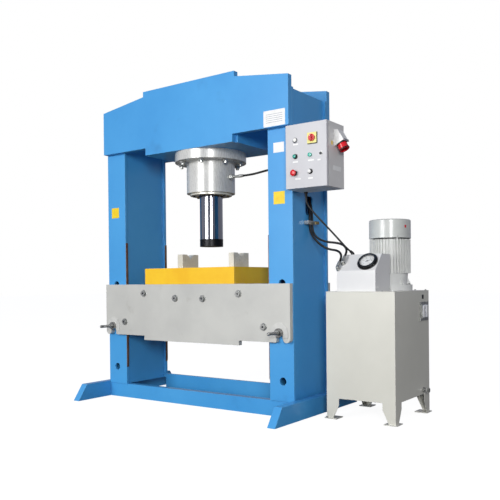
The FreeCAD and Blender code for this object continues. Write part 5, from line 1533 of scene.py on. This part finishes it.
    def tank_trim(self) -> None:
        """Bolts on the tank's lid and foot, and the blank plate on its side."""
        xs, ys = self.tank_x, self.tank_y
        in_x, in_y = self.bolt_inset
        bolts = []
        for x in (xs[0] + in_x, sum(xs) / 2 + 150, xs[1] - in_x):
            for y in (ys[0] + in_y, ys[1] - in_y):
                bolts += hex_bolt(np.array([x, y, self.lid_top]), UP, 10.0, 5.0)
        bolts += hex_bolt(np.array([xs[0] + 2, ys[0] - 2, 6.0]), UP, 13.0, 7.0)
        make_piece("lid_bolts", bolts, ZINC, Body.PRESS)
        self.sight_trim()
        low, high = extent("drain_valve")
        knob = np.array([high[0] - self.drain_half, *((low + high) / 2)[1:]]) - 13.2 * RIGHT
        ball = [(self.drain_r * math.sin(a), self.drain_half * (1 - math.cos(a)))
                for a in np.linspace(0, np.pi, 15)]
        make_piece("drain_knob", [lathe(ball, knob, RIGHT, 32)], WHITE, Body.PRESS)
        BlankPlate("tank_plate", (xs[1], 585, 777), (30, 28), BLACK, "black_plastic",
                   face=Face.SIDE, thickness=0.8).build()

    def sight_trim(self) -> None:
        """Frames, glasses and corner screws of the two sight gauges."""
        low, high = extent("level_gauge")
        face, z_mid = high[0], (low[2] + high[2]) / 2
        y_mid = low[1] + 69
        places = [np.array([face, y_mid + s * self.sight_gap / 2, z_mid]) for s in (-1, 1)]
        frames = [slab(rounded(40, 84, 6), place, BACK, UP, 1.5, 0.5) for place in places]
        glasses = [slab(rounded(30, 76, 8), place + 1.2 * RIGHT, BACK, UP, 3.5, 1.5)
                   for place in places]
        make_piece("sight_frames", frames, SIGHT, Body.PRESS)
        make_piece("sight_glasses", glasses, WHITE, Body.PRESS)
        wide, tall = self.sight_spread
        screws = [dome(np.array([face - 7, y_mid + sy * wide / 2, z_mid + sz * tall / 2]), RIGHT,
                       4.0, 2.4, 20) for sy in (-1, 1) for sz in (-1, 1)]
        make_piece("sight_screws", screws, ZINC, Body.PRESS)

    def console_trim(self) -> None:
        """Blank label and screws on the console's right side."""
        face = extent("console_cover")[1][0]
        BlankPlate("console_label", (face, 212, 845), (22, 12), LABEL, "white_plastic",
                   face=Face.SIDE, thickness=0.5).build()
        heads = [dome(np.array([face, y, z]), RIGHT, 3.2, 1.8, 20)
                 for y in (196.0, 385.0) for z in (832.0, 930.0)]
        make_piece("console_screws", heads, ZINC, Body.PRESS)

    def build(self, nodes: dict[str, bpy.types.Object]) -> None:
        """Dress the power pack and add its trim.

        Args:
            nodes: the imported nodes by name.
        """
        dress(nodes, {"tank": TANK_GREY, "tank_lid": TANK_GREY, "console_cover": CONSOLE_GREY,
                      "gauge_case": GAUGE_BLACK, "gauge_glass": GAUGE_GLASS,
                      "gauge_needle": BLACK, "motor_body": MOTOR_GREY,
                      "motor_flange": MOTOR_GREY, "fan_cowl": COWL_GREY,
                      "motor_rotor": MOTOR_GREY, "pump": PUMP_IRON, "level_gauge": ZINC,
                      "drain_valve": ZINC, "cable_glands": BLACK, "hose_fittings": ZINC})
        self.gauge()
        self.motor_trim()
        self.tank_trim()
        self.console_trim()
        cap = slab(rounded(46, 20, 3), np.array(self.clamp), BACK, UP, 4.0, 0.8)
        make_piece("clamp_cap", [cap], BRASS, Body.PRESS)


def main() -> None:
    """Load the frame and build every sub-assembly."""
    logging.basicConfig(level=logging.INFO, format="%(name)s: %(message)s")
    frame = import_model()
    nodes = frame["nodes"]
    Stage().build()
    Lines().build()
    for assembly in (Portal(), Ram(), Table(), ControlBox(), PowerPack()):
        assembly.build(nodes)


if __name__ == "__main__":
    main()
